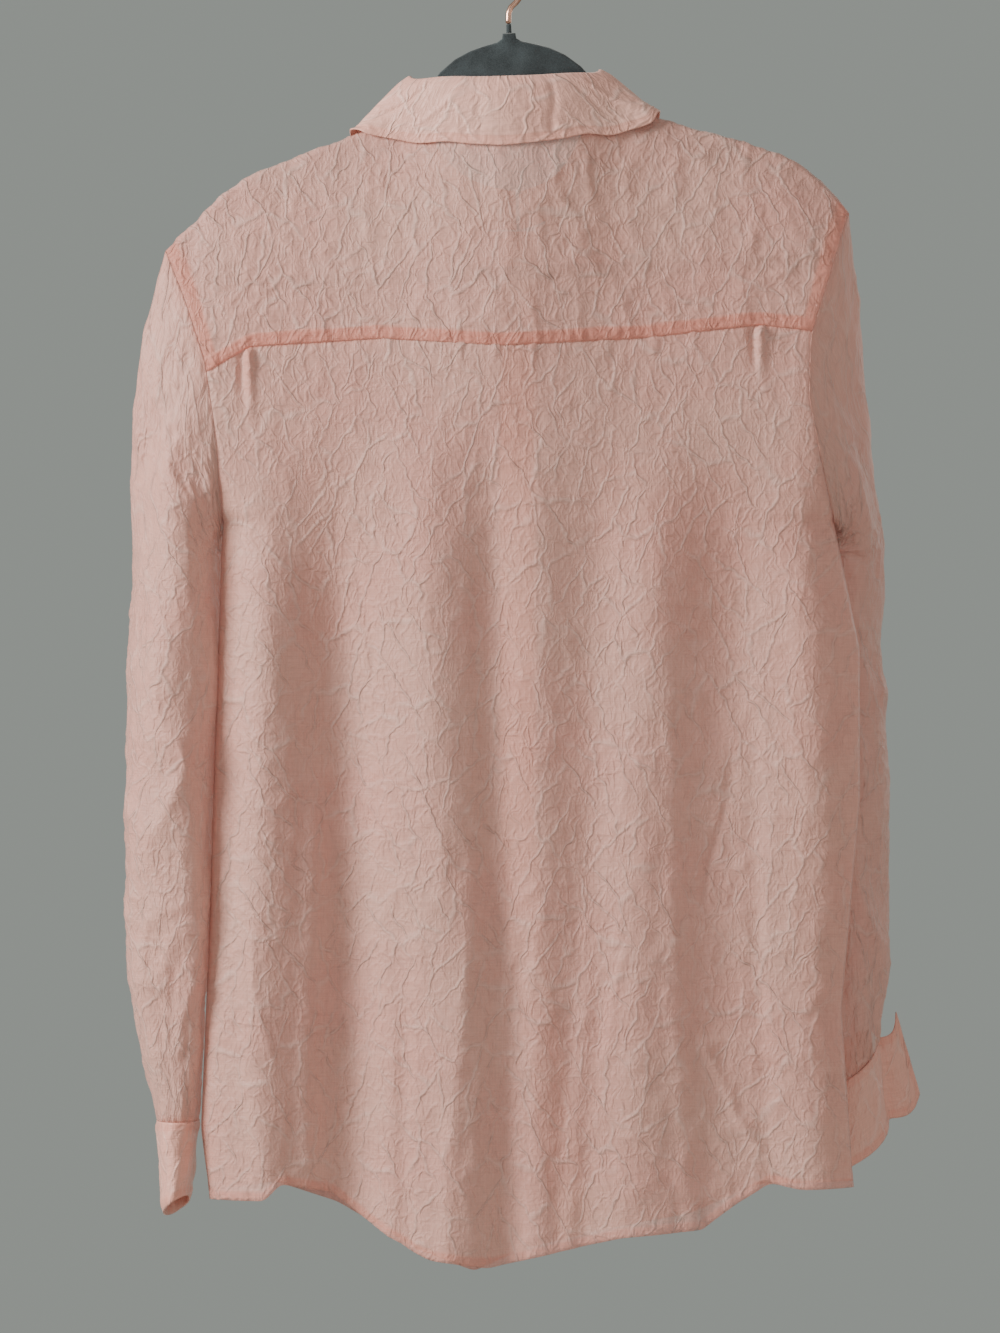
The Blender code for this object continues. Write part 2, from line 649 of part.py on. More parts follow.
def make_sleeve(side, name, sections, twist, parts):
    loop = armhole_loop(side)
    shares = loop_shares(loop)
    out = Vector((side * 3 * SEAM_GAP, 0.0, 0.0))
    count = len(loop)
    rows = len(CAP_SHARES) + len(sections)

    def place(column, row):
        column %= count
        share = shares[column] + twist
        if row < len(CAP_SHARES):
            part = CAP_SHARES[row]
            below = ring_point(sections[0], share, sleeve_fold(share, sections[0].z, side))
            before = math.exp(-((shares[column] - 0.75) / 0.13) ** 2)
            point = (loop[column] + out + Vector((0.0, 1.2, 0.0)) * before).lerp(below, part)
            swell = math.sin(math.pi * part)
            aside = 1.0 - before if side > 0 else max(0.5 + 0.5 * math.cos(2 * math.pi * shares[column]), 0.25)
            point.x += side * 9.0 * swell * aside
            point.y += 5.0 * swell * before
            return point
        section = sections[row - len(CAP_SHARES)]
        return ring_point(section, share, sleeve_fold(share, section.z, side))

    mesh = sheet_mesh(count + 1, rows, place, closed=True)
    make_object(name, mesh, "silk", parts, CLOTH)


def make_left_cuff(parts):
    count = 20
    mesh = sheet_mesh(count + 1, len(LEFT_CUFF),
                      lambda column, row: ring_point(LEFT_CUFF[row], (column % count) / count),
                      closed=True)
    make_object("cuff_left", mesh, "silk_double", parts, DOUBLE_CLOTH)


def make_right_cuff(parts):
    """An unbuttoned cuff: its buttonhole end stands off to the outside as a flap."""
    around = 19
    flap = 4
    start = 0.90

    def place(column, row):
        section = RIGHT_CUFF[row]
        if column <= around:
            return ring_point(section, start - 0.92 * column / around)
        last = ring_point(section, start - 0.92)
        free = Vector(CUFF_FLAP[0]).lerp(Vector(CUFF_FLAP[1]), row / 2)
        part = (column - around) / flap
        bow = Vector((4.0, -1.0, -5.0)) * math.sin(math.pi * part)
        return last.lerp(free, part) + bow

    mesh = sheet_mesh(around + flap + 1, len(RIGHT_CUFF), place)
    make_object("cuff_right", mesh, "silk_double", parts, DOUBLE_CLOTH)


# --- Buttons ---

def make_button(name, centre, outward, parts):
    """A round button with a raised rim, lying against the cloth."""
    mesh = bmesh.new()
    turn = outward.to_track_quat("Z", "Y").to_matrix().to_4x4()
    bmesh.ops.create_cone(mesh, cap_ends=True, segments=16, radius1=BUTTON_WIDTH / 2 * MM,
                          radius2=BUTTON_WIDTH / 2 * MM, depth=BUTTON_THICK * MM)
    top = max(mesh.faces, key=lambda face: face.calc_center_median().z)
    bmesh.ops.inset_region(mesh, faces=[top], thickness=1.3 * MM)
    bmesh.ops.translate(mesh, verts=top.verts, vec=(0.0, 0.0, -0.5 * MM))
    bmesh.ops.transform(mesh, verts=mesh.verts, matrix=Matrix.Translation(centre * MM) @ turn)
    make_object(name, mesh, "shell", parts, smooth_shade=False)


def make_front_buttons(parts):
    lift = DOUBLE_CLOTH * 1.5 + 2 * LAY_GAP + BUTTON_THICK / 2
    for number, z in enumerate(FRONT_BUTTON_Z, start=1):
        across = (placket_point(0, z + 6, lift), placket_point(0, z - 6, lift))
        slope = across[0] - across[1]
        outward = Vector((0.0, slope.z, -slope.y)).normalized()
        centre = across[0].lerp(across[1], 0.5) + Vector((0.0, 0.35, 0.0))
        make_button(f"button_front_{number}", centre, outward, parts)


def make_cuff_buttons(parts):
    """Two buttons on each cuff's lower end, beside the opening."""
    lift = DOUBLE_CLOTH / 2 + LAY_GAP + BUTTON_THICK / 2 + 0.5
    for side, label, sections, share in ((-1, "left", LEFT_CUFF, 0.80), (1, "right", RIGHT_CUFF, 0.84)):
        for number, part in enumerate((0.3, 0.75), start=1):
            low = ring_point(sections[0], share).lerp(ring_point(sections[-1], share), part)
            ahead = ring_point(sections[1], share + 0.02) - ring_point(sections[1], share - 0.02)
            outward = Vector((ahead.y, -ahead.x, 0.0)).normalized()
            middle = Vector(((sections[1].x_out + sections[1].x_in) / 2,
                             (sections[1].y_back + sections[1].y_front) / 2, low.z))
            if outward.dot(low - middle) < 0:
                outward = -outward
            make_button(f"button_cuff_{label}_{number}", low + outward * lift, outward, parts)


# --- Hanger ---

def solid_from_curve(curve_object, collection):
    """The curve's evaluated shape as a mesh with its caps welded on."""
    bpy.context.view_layer.update()
    graph = bpy.context.evaluated_depsgraph_get()
    data = bpy.data.meshes.new_from_object(curve_object.evaluated_get(graph))
    mesh = bmesh.new()
    mesh.from_mesh(data)
    bmesh.ops.remove_doubles(mesh, verts=mesh.verts, dist=0.00001)
    bmesh.ops.recalc_face_normals(mesh, faces=mesh.faces)
    mesh.to_mesh(data)
    mesh.free()
    made = bpy.data.objects.new(curve_object.name + "_solid", data)
    made.matrix_world = curve_object.matrix_world
    collection.objects.link(made)
    name = curve_object.name
    bpy.data.objects.remove(curve_object)
    made.name = name
    data.name = name
    return made


def poly_curve(name, dimensions, outlines, closed, collection):
    data = bpy.data.curves.new(name, "CURVE")
    data.dimensions = dimensions
    for outline in outlines:
        spline = data.splines.new("POLY")
        spline.points.add(len(outline) - 1)
        for point, place in zip(spline.points, outline):
            point.co = (*[value * MM for value in place], 1.0)
        spline.use_cyclic_u = closed
    made = bpy.data.objects.new(name, data)
    collection.objects.link(made)
    return made


def arc(centre, radius, start, end, steps):
    angles = [math.radians(start + (end - start) * step / steps) for step in range(steps + 1)]
    return [(centre[0] + radius * math.cos(a), centre[1] + radius * math.sin(a)) for a in angles]


def make_hanger(parts):
    """One flat moulding: two arms, the hub between them and the bar below."""
    tops = [(arm.x, arm.top) for arm in HANGER_ARM]
    bar_top, bar_bottom = HANGER_BAR
    inner, outer = BAR_END
    end_round = (bar_top - bar_bottom) * 1.2
    shoulder_end = [(outer - 0.5, -176.0), (outer + 1.0, -184.0)]
    corner = arc((outer - end_round, bar_bottom + end_round), end_round, 0, -90, 4)
    right = list(HUB_TOP) + tops + shoulder_end + corner
    outline = right + [(-x, z) for x, z in reversed(right)]
    bottoms = [(arm.x, arm.bottom) for arm in HANGER_ARM[1:-1]]
    inside_end = [(inner + 5.0, -188.0), (inner + 4.0, bar_top + 6.0), (inner - 1.0, bar_top)]
    half_hole = bottoms + inside_end
    hole = [(-x, z) for x, z in reversed(half_hole)] + half_hole
    flat = [[(x, z, 0.0) for x, z in points] for points in (outline, hole)]
    curve = poly_curve("hanger_body", "2D", flat, True, parts)
    edge = 1.4
    curve.data.fill_mode = "BOTH"
    curve.data.extrude = (HANGER_THICK / 2 - edge) * MM
    curve.data.bevel_depth = edge * MM
    curve.data.bevel_resolution = 1
    curve.data.offset = -edge * MM
    made = solid_from_curve(curve, parts)
    stand_up = Matrix.Rotation(math.pi / 2, 4, "X")
    turn = Matrix.Rotation(-HANGER_TILT, 4, "Y")
    made.data.transform(turn @ stand_up)
    made.data.materials.append(material("hanger_body", "flock"))
    made.data.shade_smooth()
    made.data.set_sharp_from_angle(angle=math.radians(40))


def make_hook(parts):
    """Wire hook: a thin foot, a bend aside and a loop over the top whose inside is the origin."""
    radius = (HOOK_INNER + WIRE) / 2
    centre = (0.0, WIRE / 2 - radius)
    foot = [(0.0, HUB_Z + 0.4), (0.0, -55.6)]
    stem = foot + [(0.0, -55.2), (0.0, -53.5), (0.3, -49.0), (2.0, -45.0), (5.5, -42.0)]
    loop = arc(centre, radius, -58, 205, 26)
    route = []
    for x, z in stem + loop:
        x_turned, z_turned = tilted(x, z) if z < -40 else (x, z)
        route.append((x_turned, 0.0, z_turned))
    curve = poly_curve("hook", "3D", [route], False, parts)
    for point in curve.data.splines[0].points[:len(foot)]:
        point.radius = 0.45
    curve.data.bevel_depth = WIRE / 2 * MM
    curve.data.bevel_resolution = 2
    curve.data.use_fill_caps = True
    made = solid_from_curve(curve, parts)
    made.data.materials.append(material("hook", "copper_plate"))
    made.data.shade_smooth()


def make_ferrule(parts):
    """A slim dark neck round the foot of the wire, on top of the hub."""
    profile = [(1.15, 0.35), (1.8, 0.35), (1.7, 5.4), (1.5, 6.1), (1.15, 6.1)]
    mesh = bmesh.new()
    corners = [mesh.verts.new((radius * MM, 0.0, height * MM)) for radius, height in profile]
    edges = [mesh.edges.new((first, second)) for first, second in zip(corners, corners[1:] + corners[:1])]
    bmesh.ops.spin(mesh, geom=corners + edges, cent=(0, 0, 0), axis=(0, 0, 1), dvec=(0, 0, 0),
                   angle=2 * math.pi, steps=14, use_merge=True, use_duplicate=False)
    bmesh.ops.recalc_face_normals(mesh, faces=mesh.faces)
    foot_x, foot_z = tilted(0.0, HUB_Z)
    place = Matrix.Translation(Vector((foot_x, 0.0, foot_z)) * MM) @ Matrix.Rotation(-HANGER_TILT, 4, "Y")
    bmesh.ops.transform(mesh, verts=mesh.verts, matrix=place)
    made = make_object("hook_ferrule", mesh, "flock", parts)
    made.data.set_sharp_from_angle(angle=math.radians(30))


def main():
    for old in list(bpy.data.objects):
        bpy.data.objects.remove(old)
    parts = bpy.data.collections.new("blouse_on_a_hanger")
    bpy.context.scene.collection.children.link(parts)
    make_back(parts)
    make_yoke(parts)
    make_fronts(parts)
    make_plackets(parts)
    make_pockets(parts)
    make_collar(parts)
    make_sleeve(-1, "sleeve_left", LEFT_SLEEVE, 0.0, parts)
    make_sleeve(1, "sleeve_right", RIGHT_SLEEVE, -0.22, parts)
    make_left_cuff(parts)
    make_right_cuff(parts)
    make_front_buttons(parts)
    make_cuff_buttons(parts)
    make_hanger(parts)
    make_hook(parts)
    make_ferrule(parts)


main()
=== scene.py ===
"""Looks of a long-sleeved crinkled silk shirt-blouse that hangs on a slim flocked hanger.

The sizes in the tables are in millimetres and finished meshes are in metres, in the frame's
own axes: +Z up, +X to the right as the blouse's back is looked at, +Y from its back to its
front. Each cloth piece is a fine grid laid on the form of its own solid, with its folds,
puckers and crinkle raised on it, and gets its wall from a Solidify modifier.
"""
import math

import bmesh
import bpy
import numpy as np
from bpy.props import FloatProperty, FloatVectorProperty, PointerProperty
from mathutils import Matrix, Vector


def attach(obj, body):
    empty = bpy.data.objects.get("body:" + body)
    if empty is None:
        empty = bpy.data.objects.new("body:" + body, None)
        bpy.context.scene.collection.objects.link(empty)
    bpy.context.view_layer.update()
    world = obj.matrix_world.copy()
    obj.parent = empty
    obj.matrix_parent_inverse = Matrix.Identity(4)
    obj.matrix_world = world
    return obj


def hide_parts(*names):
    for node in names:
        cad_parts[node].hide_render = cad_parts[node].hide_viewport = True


bl_info = {
    "name": "Crinkled Silk Blouse",
    "version": (1, 0, 0),
    "blender": (4, 5, 0),
    "location": "View3D > Sidebar > Blouse",
    "description": "Cloth, trim and finish of a silk blouse on its hanger",
    "category": "Add Mesh",
}

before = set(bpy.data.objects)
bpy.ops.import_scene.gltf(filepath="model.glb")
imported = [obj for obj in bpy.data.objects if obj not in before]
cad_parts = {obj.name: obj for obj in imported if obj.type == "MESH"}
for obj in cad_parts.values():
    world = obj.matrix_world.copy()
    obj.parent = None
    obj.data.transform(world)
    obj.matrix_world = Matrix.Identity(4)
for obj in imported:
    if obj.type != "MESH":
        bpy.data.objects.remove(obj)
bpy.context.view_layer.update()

MM = 0.001

# --- The form that the blouse takes: the same rows as its solids, in millimetres ---
CREST_RADIUS = 4.5
BACK_SLANT = 22.0
FRONT_SLANT = 24.0
SLANT_REACH = 90.0
NECK_HALF = 62.0
BACK_NECK_BULGE = 10.0
FRONT_NECK_BULGE = 14.0
YOKE_FRONT = 35.0
NECK_W = 11.3
UNDERARM_Z = -380.0
ARMHOLE_ROUND = 80.0
PLACKET_WIDTH = 24.0
STAND_HEIGHT = 25.0     # of the collar's stand; it rises by BACK_RISE more at the back of the neck
BACK_RISE = 4.5
NECK_SCOOP = 12.0       # how far the neck seam sinks between its corners at the back
UNDER_YOKE = 7.5        # seam allowance of the back that is pressed up behind the yoke
BAND_WIDTH = 9.2        # allowance that shows through above the yoke seam, and along the armholes
ARMHOLE_STRIP = 8.0
HEM_WIDTH = 6.4
POCKET_HEM = 21.0
LEAF_STITCH = 6.8       # the collar's and the cuffs' lines of stitches, from their edges
CUFF_STITCH = 5.5
SIDE_SHAPE = 0.85       # below 1 the rings of sleeves and cuffs are fuller than an ellipse
LEAF_LIFT = 2.6
FRONT_NECK_Z = -190.0
HANGER_TILT = math.radians(2.4)
REST_GAP = 2.7
CREST_CENTRE = (0.0, -70.0)
SHOULDER_TIPS = ((-221.0, -204.0), (224.0, -179.0))
HANGER_ARM = ((46, -87), (66, -110), (100, -126), (160, -145.5), (178, -153.5), (190, -161), (200, -170))
SIDE_EDGE = {          # z, x and y of the armhole and then of the side seam
    -1: ((-204, -221, 0), (-237, -208, 0), (-276, -195, 0), (-330, -187, 0), (-380, -184, -2),
         (-497, -188, -4), (-627, -192, -4), (-705, -195, -4), (-776, -198, -4), (-824, -192, -3)),
    1: ((-178, 224, 0), (-230, 208, 0), (-262, 198, 0), (-300, 197, 0), (-335, 204, 0),
        (-380, 214, -3), (-464, 231, -8), (-562, 231, -10), (-698, 219, -10), (-815, 227, -8)),
}
YOKE_SEAM = ((-230, -292), (-195, -284), (-166, -267), (-81, -262), (0, -267), (88, -262),
             (166, -253), (230, -260))
BACK_HEM = ((-200, -822), (-156, -822), (-146, -811), (-114, -817), (-75, -845), (-49, -860),
            (-10, -866), (36, -855), (75, -846), (127, -841), (153, -823), (172, -811),
            (192, -815), (232, -814))
FRONT_HEM = ((-200, -818), (-150, -812), (-110, -826), (-60, -856), (-20, -872), (10, -858),
             (60, -846), (120, -834), (165, -814), (232, -810))
PLACKET_LINE = ((-180, 9), (-560, 9), (-660, 13), (-724, 26), (-848, 45), (-880, 47))
SLEEVE_RINGS = {       # z, x of the outer and inner sides, y of the back and front, tilt
    -1: ((-402, -243, -183, -24, 60, 0), (-450, -245, -185, -26, 60, 0), (-510, -246, -186.5, -27, 60, 0),
         (-570, -245, -188.5, -26, 60, 0), (-625, -244, -191, -26, 58, 0), (-675, -241, -194, -24, 56, 0),
         (-725, -234, -197.5, -20, 54, 0), (-772, -227, -201, -17, 52, 0)),
    1: ((-402, 249, 176, 15, 82, 0), (-450, 250, 176, 16, 84, 0), (-510, 250, 178, 17, 84, 0),
        (-570, 251, 182, 17, 82, 0), (-625, 251, 188, 17, 80, 4), (-675, 252, 196, 18, 76, 12),
        (-715, 248, 202, 19, 72, 24), (-734, 244, 205, 20, 70, 34)),
}
CUFF_RINGS = {
    -1: ((-772.2, -227, -201, -17, 52, 0), (-802, -225, -204, -17, 52, -6), (-828, -223, -207, -16, 51, -15)),
    1: ((-734.2, 244, 205, 20, 70, 34), (-762, 248, 207, 20, 72, 34), (-788, 252, 209, 20, 74, 36)),
}
CUFF_FLAP = ((258.0, 55.0, -703.0), (274.0, 62.0, -757.0))     # top and bottom of its free end
LEAF_EDGE = (          # station along the neck seam, x and way down the form
    (0.0, -50, 138), (0.4, -78, 84), (0.75, -96, 24), (0.88, -100, 8), (1.0, -101, 0), (1.12, -96, -3),
    (1.25, -89, -7), (1.4, -78, -15), (1.55, -64, -25), (1.7, -45, -48), (1.85, -23, -60), (2.0, 0, -69.6),
    (2.15, 23, -61.3), (2.3, 44, -53.3), (2.45, 62, -37), (2.6, 77, -23), (2.75, 89, -14.6), (2.88, 96, -9),
    (3.0, 101, 0), (3.12, 100, 8), (3.25, 97, 24), (3.6, 80, 84), (4.0, 66, 138))
NECK_FRONT_X = {-1: (7.8, -3.5, -18.2, -32.8, -46.9), 1: (10.2, 21.5, 35.8, 48.6)}
POCKETS = {-1: (-132.4, -46.9, -342.0, -457.0), 1: (62.4, 164.0, -342.0, -457.0)}

# --- Folds of the hanging cloth: x at the top and at the hem, z of the top, width, height ---
BACK_FOLDS = (
    (-160, -160, -310, 19, 8.5), (-114, -98, -290, 26, -19.0), (-56, -28, -280, 22, 8.0),
    (-12, 2, -285, 14, -6.5), (24, 22, -290, 12, 2.0), (62, 46, -300, 19, -4.0),
    (102, 80, -300, 22, 6.0), (146, 140, -290, 27, -8.5), (200, 219, -290, 23, 13.0),
    (-122, -128, -500, 7, 2.6), (-70, -60, -600, 6, -2.2), (104, 118, -430, 7, 2.2),
    (160, 172, -480, 7, -2.4), (56, 44, -600, 6, 2.0), (-186, -168, -420, 6, -2.0), (-20, -36, -560, 6, 1.8),
)
FRONT_FOLDS = (
    (-165, -160, -420, 16, -3.0), (-120, -100, -480, 22, 4.5), (-60, -50, -420, 18, -4.0),
    (70, 90, -480, 20, 4.5), (130, 140, -460, 18, -4.0), (-84, -76, -520, 7, -1.5),
    (104, 112, -540, 7, 1.6),
)
PLEATS = ((-167.0, 58.0), (165.5, 40.0))     # x and length of the two pleats that the yoke holds
TUCKS = ((-96, 22), (-78, 16), (-30, 34), (-6, 22), (18, 42), (64, 26), (96, 18), (122, 24))
LEAF_CREASES = (       # place along the fold from the middle, end above the edge, lean, height, width
    (-62, 14, 0.9, 0.9, 2.6), (-34, 12, 0.55, -0.8, 2.4), (-12, 10, -0.35, 0.6, 2.4), (22, 8, 0.1, 1.1, 1.9),
    (48, 16, -0.8, 0.7, 2.4), (66, 12, -1.1, -0.7, 2.4))
CREASES = (            # single creases of the back: x and z of both ends, width, height
    (120, -711, 179, -809, 3.0, 2.2), (60, -760, 128, -835, 2.6, -1.4), (-40, -770, 30, -842, 2.6, 1.2),
    (150, -520, 128, -640, 2.6, -1.6), (-168, -640, -150, -742, 2.6, 1.2), (84, -640, 60, -742, 2.4, 1.2),
    (-96, -402, -84, -498, 2.2, -1.0), (8, -640, -6, -748, 2.6, 1.2),
)


# --- Readings and small numbers ---

def read(rows, at, key=0, value=1, spread=0.0):
    """A table at one value of its key column, rounded over a spread, with its end slopes kept."""
    ordered = sorted(rows, key=lambda row: row[key])
    keys = np.array([row[key] for row in ordered], dtype=float)
    values = np.array([row[value] for row in ordered], dtype=float)
    slopes = (values[1] - values[0]) / (keys[1] - keys[0]), (values[-1] - values[-2]) / (keys[-1] - keys[-2])
    keys = np.concatenate(([keys[0] - 100.0], keys, [keys[-1] + 100.0]))
    values = np.concatenate(([values[0] - 100.0 * slopes[0]], values, [values[-1] + 100.0 * slopes[1]]))
    if not spread:
        return np.interp(at, keys, values)
    offsets = np.linspace(-1.0, 1.0, 9)
    weights = 1.05 - np.abs(offsets)
    found = sum(weight * np.interp(at + offset * spread, keys, values) for offset, weight in zip(offsets, weights))
    return found / weights.sum()


def smooth(value):
    """0 to 1 with level ends."""
    value = np.clip(value, 0.0, 1.0)
    return value * value * (3.0 - 2.0 * value)


def bell(value, width):
    return np.exp(-(value / width) ** 2)


def chance(i, j, seed):
    """A fixed number from 0 to 1 for each corner of a lattice."""
    value = np.sin(i * 127.1 + j * 311.7 + seed * 74.7) * 43758.5453
    return value - np.floor(value)


def drift(s, t, size, seed):
    """Slow even noise from -1 to 1."""
    u, v = s / size, t / size
    i, j = np.floor(u), np.floor(v)
    a, b = smooth(u - i), smooth(v - j)
    low = chance(i, j, seed) * (1 - a) + chance(i + 1, j, seed) * a
    high = chance(i, j + 1, seed) * (1 - a) + chance(i + 1, j + 1, seed) * a
    return 2.0 * (low * (1 - b) + high * b) - 1.0


def cells(s, t, cell, stretch, seed):
    """Distance in mm to the nearest line between the cells of a cracked pattern."""
    u, v = s / cell, t / (cell * stretch)
    i, j = np.floor(u), np.floor(v)
    nearest = np.full(u.shape, 9.0)
    second = np.full(u.shape, 9.0)
    for step_i in (-1, 0, 1):
        for step_j in (-1, 0, 1):
            here_i, here_j = i + step_i, j + step_j
            centre_u = here_i + 0.5 + 0.86 * (chance(here_i, here_j, seed) - 0.5)
            centre_v = here_j + 0.5 + 0.86 * (chance(here_i, here_j, seed + 5.3) - 0.5)
            reach = np.hypot(u - centre_u, v - centre_v)
            second = np.minimum(np.maximum(nearest, reach), second)
            nearest = np.minimum(nearest, reach)
    return (second - nearest) * cell * 0.55, nearest


def crinkle(s, t, seed, fine=1.0):
    """Height in mm of the crinkle that is pressed into the silk: ridges that branch, mostly upright."""
    warped_s = s + 6.5 * drift(s, t, 26.0, seed + 1) + 1.6 * drift(s, t, 8.0, seed + 2)
    warped_t = t + 9.0 * drift(s, t, 30.0, seed + 3) + 2.0 * drift(s, t, 9.0, seed + 4)
    wide, _ = cells(warped_s, warped_t, 24.0 * fine, 1.6, seed)
    small, _ = cells(warped_s + 0.3 * warped_t, warped_t, 11.0 * fine, 1.4, seed + 11)
    patch = 0.62 + 0.38 * drift(s, t, 46.0, seed + 7)
    other = 0.55 + 0.45 * drift(s, t, 31.0, seed + 8)
    rise = (0.6 - 0.17 * np.minimum(wide, 5.5)) * patch + (0.3 - 0.2 * np.minimum(small, 3.0)) * other
    long_lines = 1.0 - np.abs(drift(s + 0.2 * t, t * 0.36, 13.0, seed + 9))
    return rise + 0.6 * long_lines ** 6 * (1.0 - patch * 0.5)


# --- The form ---

def crest_rows():
    rows = [CREST_CENTRE, *SHOULDER_TIPS]
    for x, top in HANGER_ARM:
        for side in (-1, 1):
            turned = (side * x * math.cos(HANGER_TILT) - top * math.sin(HANGER_TILT),
                      side * x * math.sin(HANGER_TILT) + top * math.cos(HANGER_TILT) + REST_GAP)
            rows.append(turned)
    return rows


CREST = crest_rows()


def crest(x):
    """Height of the crest of the shoulders."""
    return read(CREST, x, spread=9.0)


def drop(w):
    """Height below the crest at a way down the form."""
    bend = np.minimum(np.abs(w) / CREST_RADIUS, math.pi / 2)
    return CREST_RADIUS * (1.0 - np.cos(bend)) + np.abs(w) - bend * CREST_RADIUS


def way(depth):
    return depth - CREST_RADIUS + CREST_RADIUS * math.pi / 2


def neck_back_z(x):
    """Height of the neck seam between its two back corners."""
    corners = crest(np.array([-NECK_HALF, NECK_HALF])) - drop(NECK_W)
    middle = corners[0] + (corners[1] - corners[0]) * (x + NECK_HALF) / (2 * NECK_HALF)
    return middle - NECK_SCOOP * np.sqrt(np.maximum(1.0 - (x / NECK_HALF) ** 2, 0.0))


def form_y(x, depth, front):
    """Distance from the hanger's plane, before the sides close."""
    depth = np.maximum(depth, 0.0)
    lift = np.sqrt(np.maximum(CREST_RADIUS ** 2 - np.maximum(CREST_RADIUS - depth, 0.0) ** 2, 0.0))
    below = np.maximum(depth - CREST_RADIUS, 0.0)
    slant = np.where(front, FRONT_SLANT, BACK_SLANT)
    bulge = np.where(front, FRONT_NECK_BULGE, BACK_NECK_BULGE)
    bulge = bulge * np.exp(-(x / 60.0) ** 2) * (1.0 - np.exp(-below / 35.0))
    bulge = bulge * np.exp(-np.maximum(depth - 180.0, 0.0) / 200.0)
    return lift + slant * (1.0 - np.exp(-below / SLANT_REACH)) + bulge


def fold_height(folds, x, z):
    total = np.zeros(np.broadcast(x, z).shape)
    for x_top, x_low, z_top, width, height in folds:
        share = np.clip((z_top - z) / (z_top + 850.0), 0.0, 1.0)
        middle = x_top + share * (x_low - x_top) + 3.5 * np.sin(z / 61.0 + x_top) * share
        total += height * smooth((z_top - z) / (95.0 + 7.0 * abs(height))) * bell(x - middle, width)
    return total


def edge(side, z, value=1, spread=7.0):
    return read(SIDE_EDGE[side], z, 0, value, spread)


def body_y(x, z, front):
    """Where the hanging cloth of the back or of the fronts lies."""
    edge_x = np.where(x < 0, edge(-1, z), edge(1, z))
    edge_y = np.where(x < 0, edge(-1, z, 2), edge(1, z, 2))
    full = form_y(x, crest(x) - z, front)
    start = np.where(front, 50.0, 100.0)
    out = np.clip((np.abs(x) - start) / (np.abs(edge_x) - start), 0.0, 1.0)
    closed = np.where(front, (1.0 - out ** 2) ** 0.8, np.sqrt(1.0 - out ** 3))
    height = np.clip((UNDERARM_Z + ARMHOLE_ROUND - z) / ARMHOLE_ROUND, 0.0, 1.0)
    opening = np.sqrt(1.0 - height ** 2)
    share = opening + (1.0 - opening) * closed
    folds = np.where(front, fold_height(FRONT_FOLDS, x, z), fold_height(BACK_FOLDS, x, z))
    full = full + folds * np.minimum(closed * 1.2, 1.0)
    direction = np.where(front, 1.0, -1.0)
    hinge = edge_y + 0.15 * direction * (1.0 - opening)
    return hinge + (direction * full - hinge) * share


def settled(side, height_at):
    """x of the ends of a grid's rows on a side edge, where their height depends on x."""
    x = side * 205.0
    for _ in range(8):
        x = edge(side, height_at(x))
    return x


def on_form(x, w, lift=0.0):
    """Points of the form near the crest, w below 0 down the back, moved out along its normal."""
    x, w = np.asarray(x, float), np.asarray(w, float)

    def place(x_here, w_here):
        front = w_here > 0
        depth = drop(w_here)
        y = np.where(front, 1.0, -1.0) * form_y(x_here, depth, front)
        return np.stack((x_here, y, crest(x_here) - depth), axis=-1)

    point = place(x, w)
    along = place(x + 0.5, w) - place(x - 0.5, w)
    down = place(x, w + 0.25) - place(x, w - 0.25)
    normal = np.cross(along, down)
    normal /= np.linalg.norm(normal, axis=-1, keepdims=True)
    normal *= np.where(normal[..., 2:] * (np.abs(w)[..., None] < 3) + normal[..., 1:2]
                       * np.where(w > 0, 1.0, -1.0)[..., None] < 0, -1.0, 1.0)
    return point + normal * np.asarray(lift, float)[..., None]


# --- Cloth grids ---

def normals(points, closed=False):
    down = np.gradient(points, axis=0)
    across = np.gradient(points, axis=1)
    if closed:
        ring = points[:, :-1]
        turned = (np.roll(ring, -1, axis=1) - np.roll(ring, 1, axis=1)) / 2
        across = np.concatenate((turned, turned[:, :1]), axis=1)
    normal = np.cross(across, down)
    return normal / np.maximum(np.linalg.norm(normal, axis=2, keepdims=True), 1e-9)


def raised(points, height, outward=1, closed=False):
    """A grid with each point moved out by its height along the grid's own normal."""
    return points + normals(points, closed) * (height * outward)[..., None]


def eased(points, passes, axis=0):
    """A grid with the kinks along one axis rounded off, its ends kept."""
    points = np.swapaxes(points, 0, axis).copy()
    for _ in range(passes):
        points[1:-1] = (points[:-2] + 2.0 * points[1:-1] + points[2:]) / 4.0
    return np.swapaxes(points, 0, axis)


def even(count, ends=0.3):
    """0 to 1, closer together at both ends."""
    share = np.linspace(0.0, 1.0, count)
    return share * (1.0 - ends) + ends * (0.5 - 0.5 * np.cos(math.pi * share))


def add_object(name, data, *surfaces):
    """An object of a mesh in the scene, with its materials."""
    made = bpy.data.objects.new(name, data)
    bpy.context.scene.collection.objects.link(made)
    for surface in surfaces:
        data.materials.append(surface)
    return made


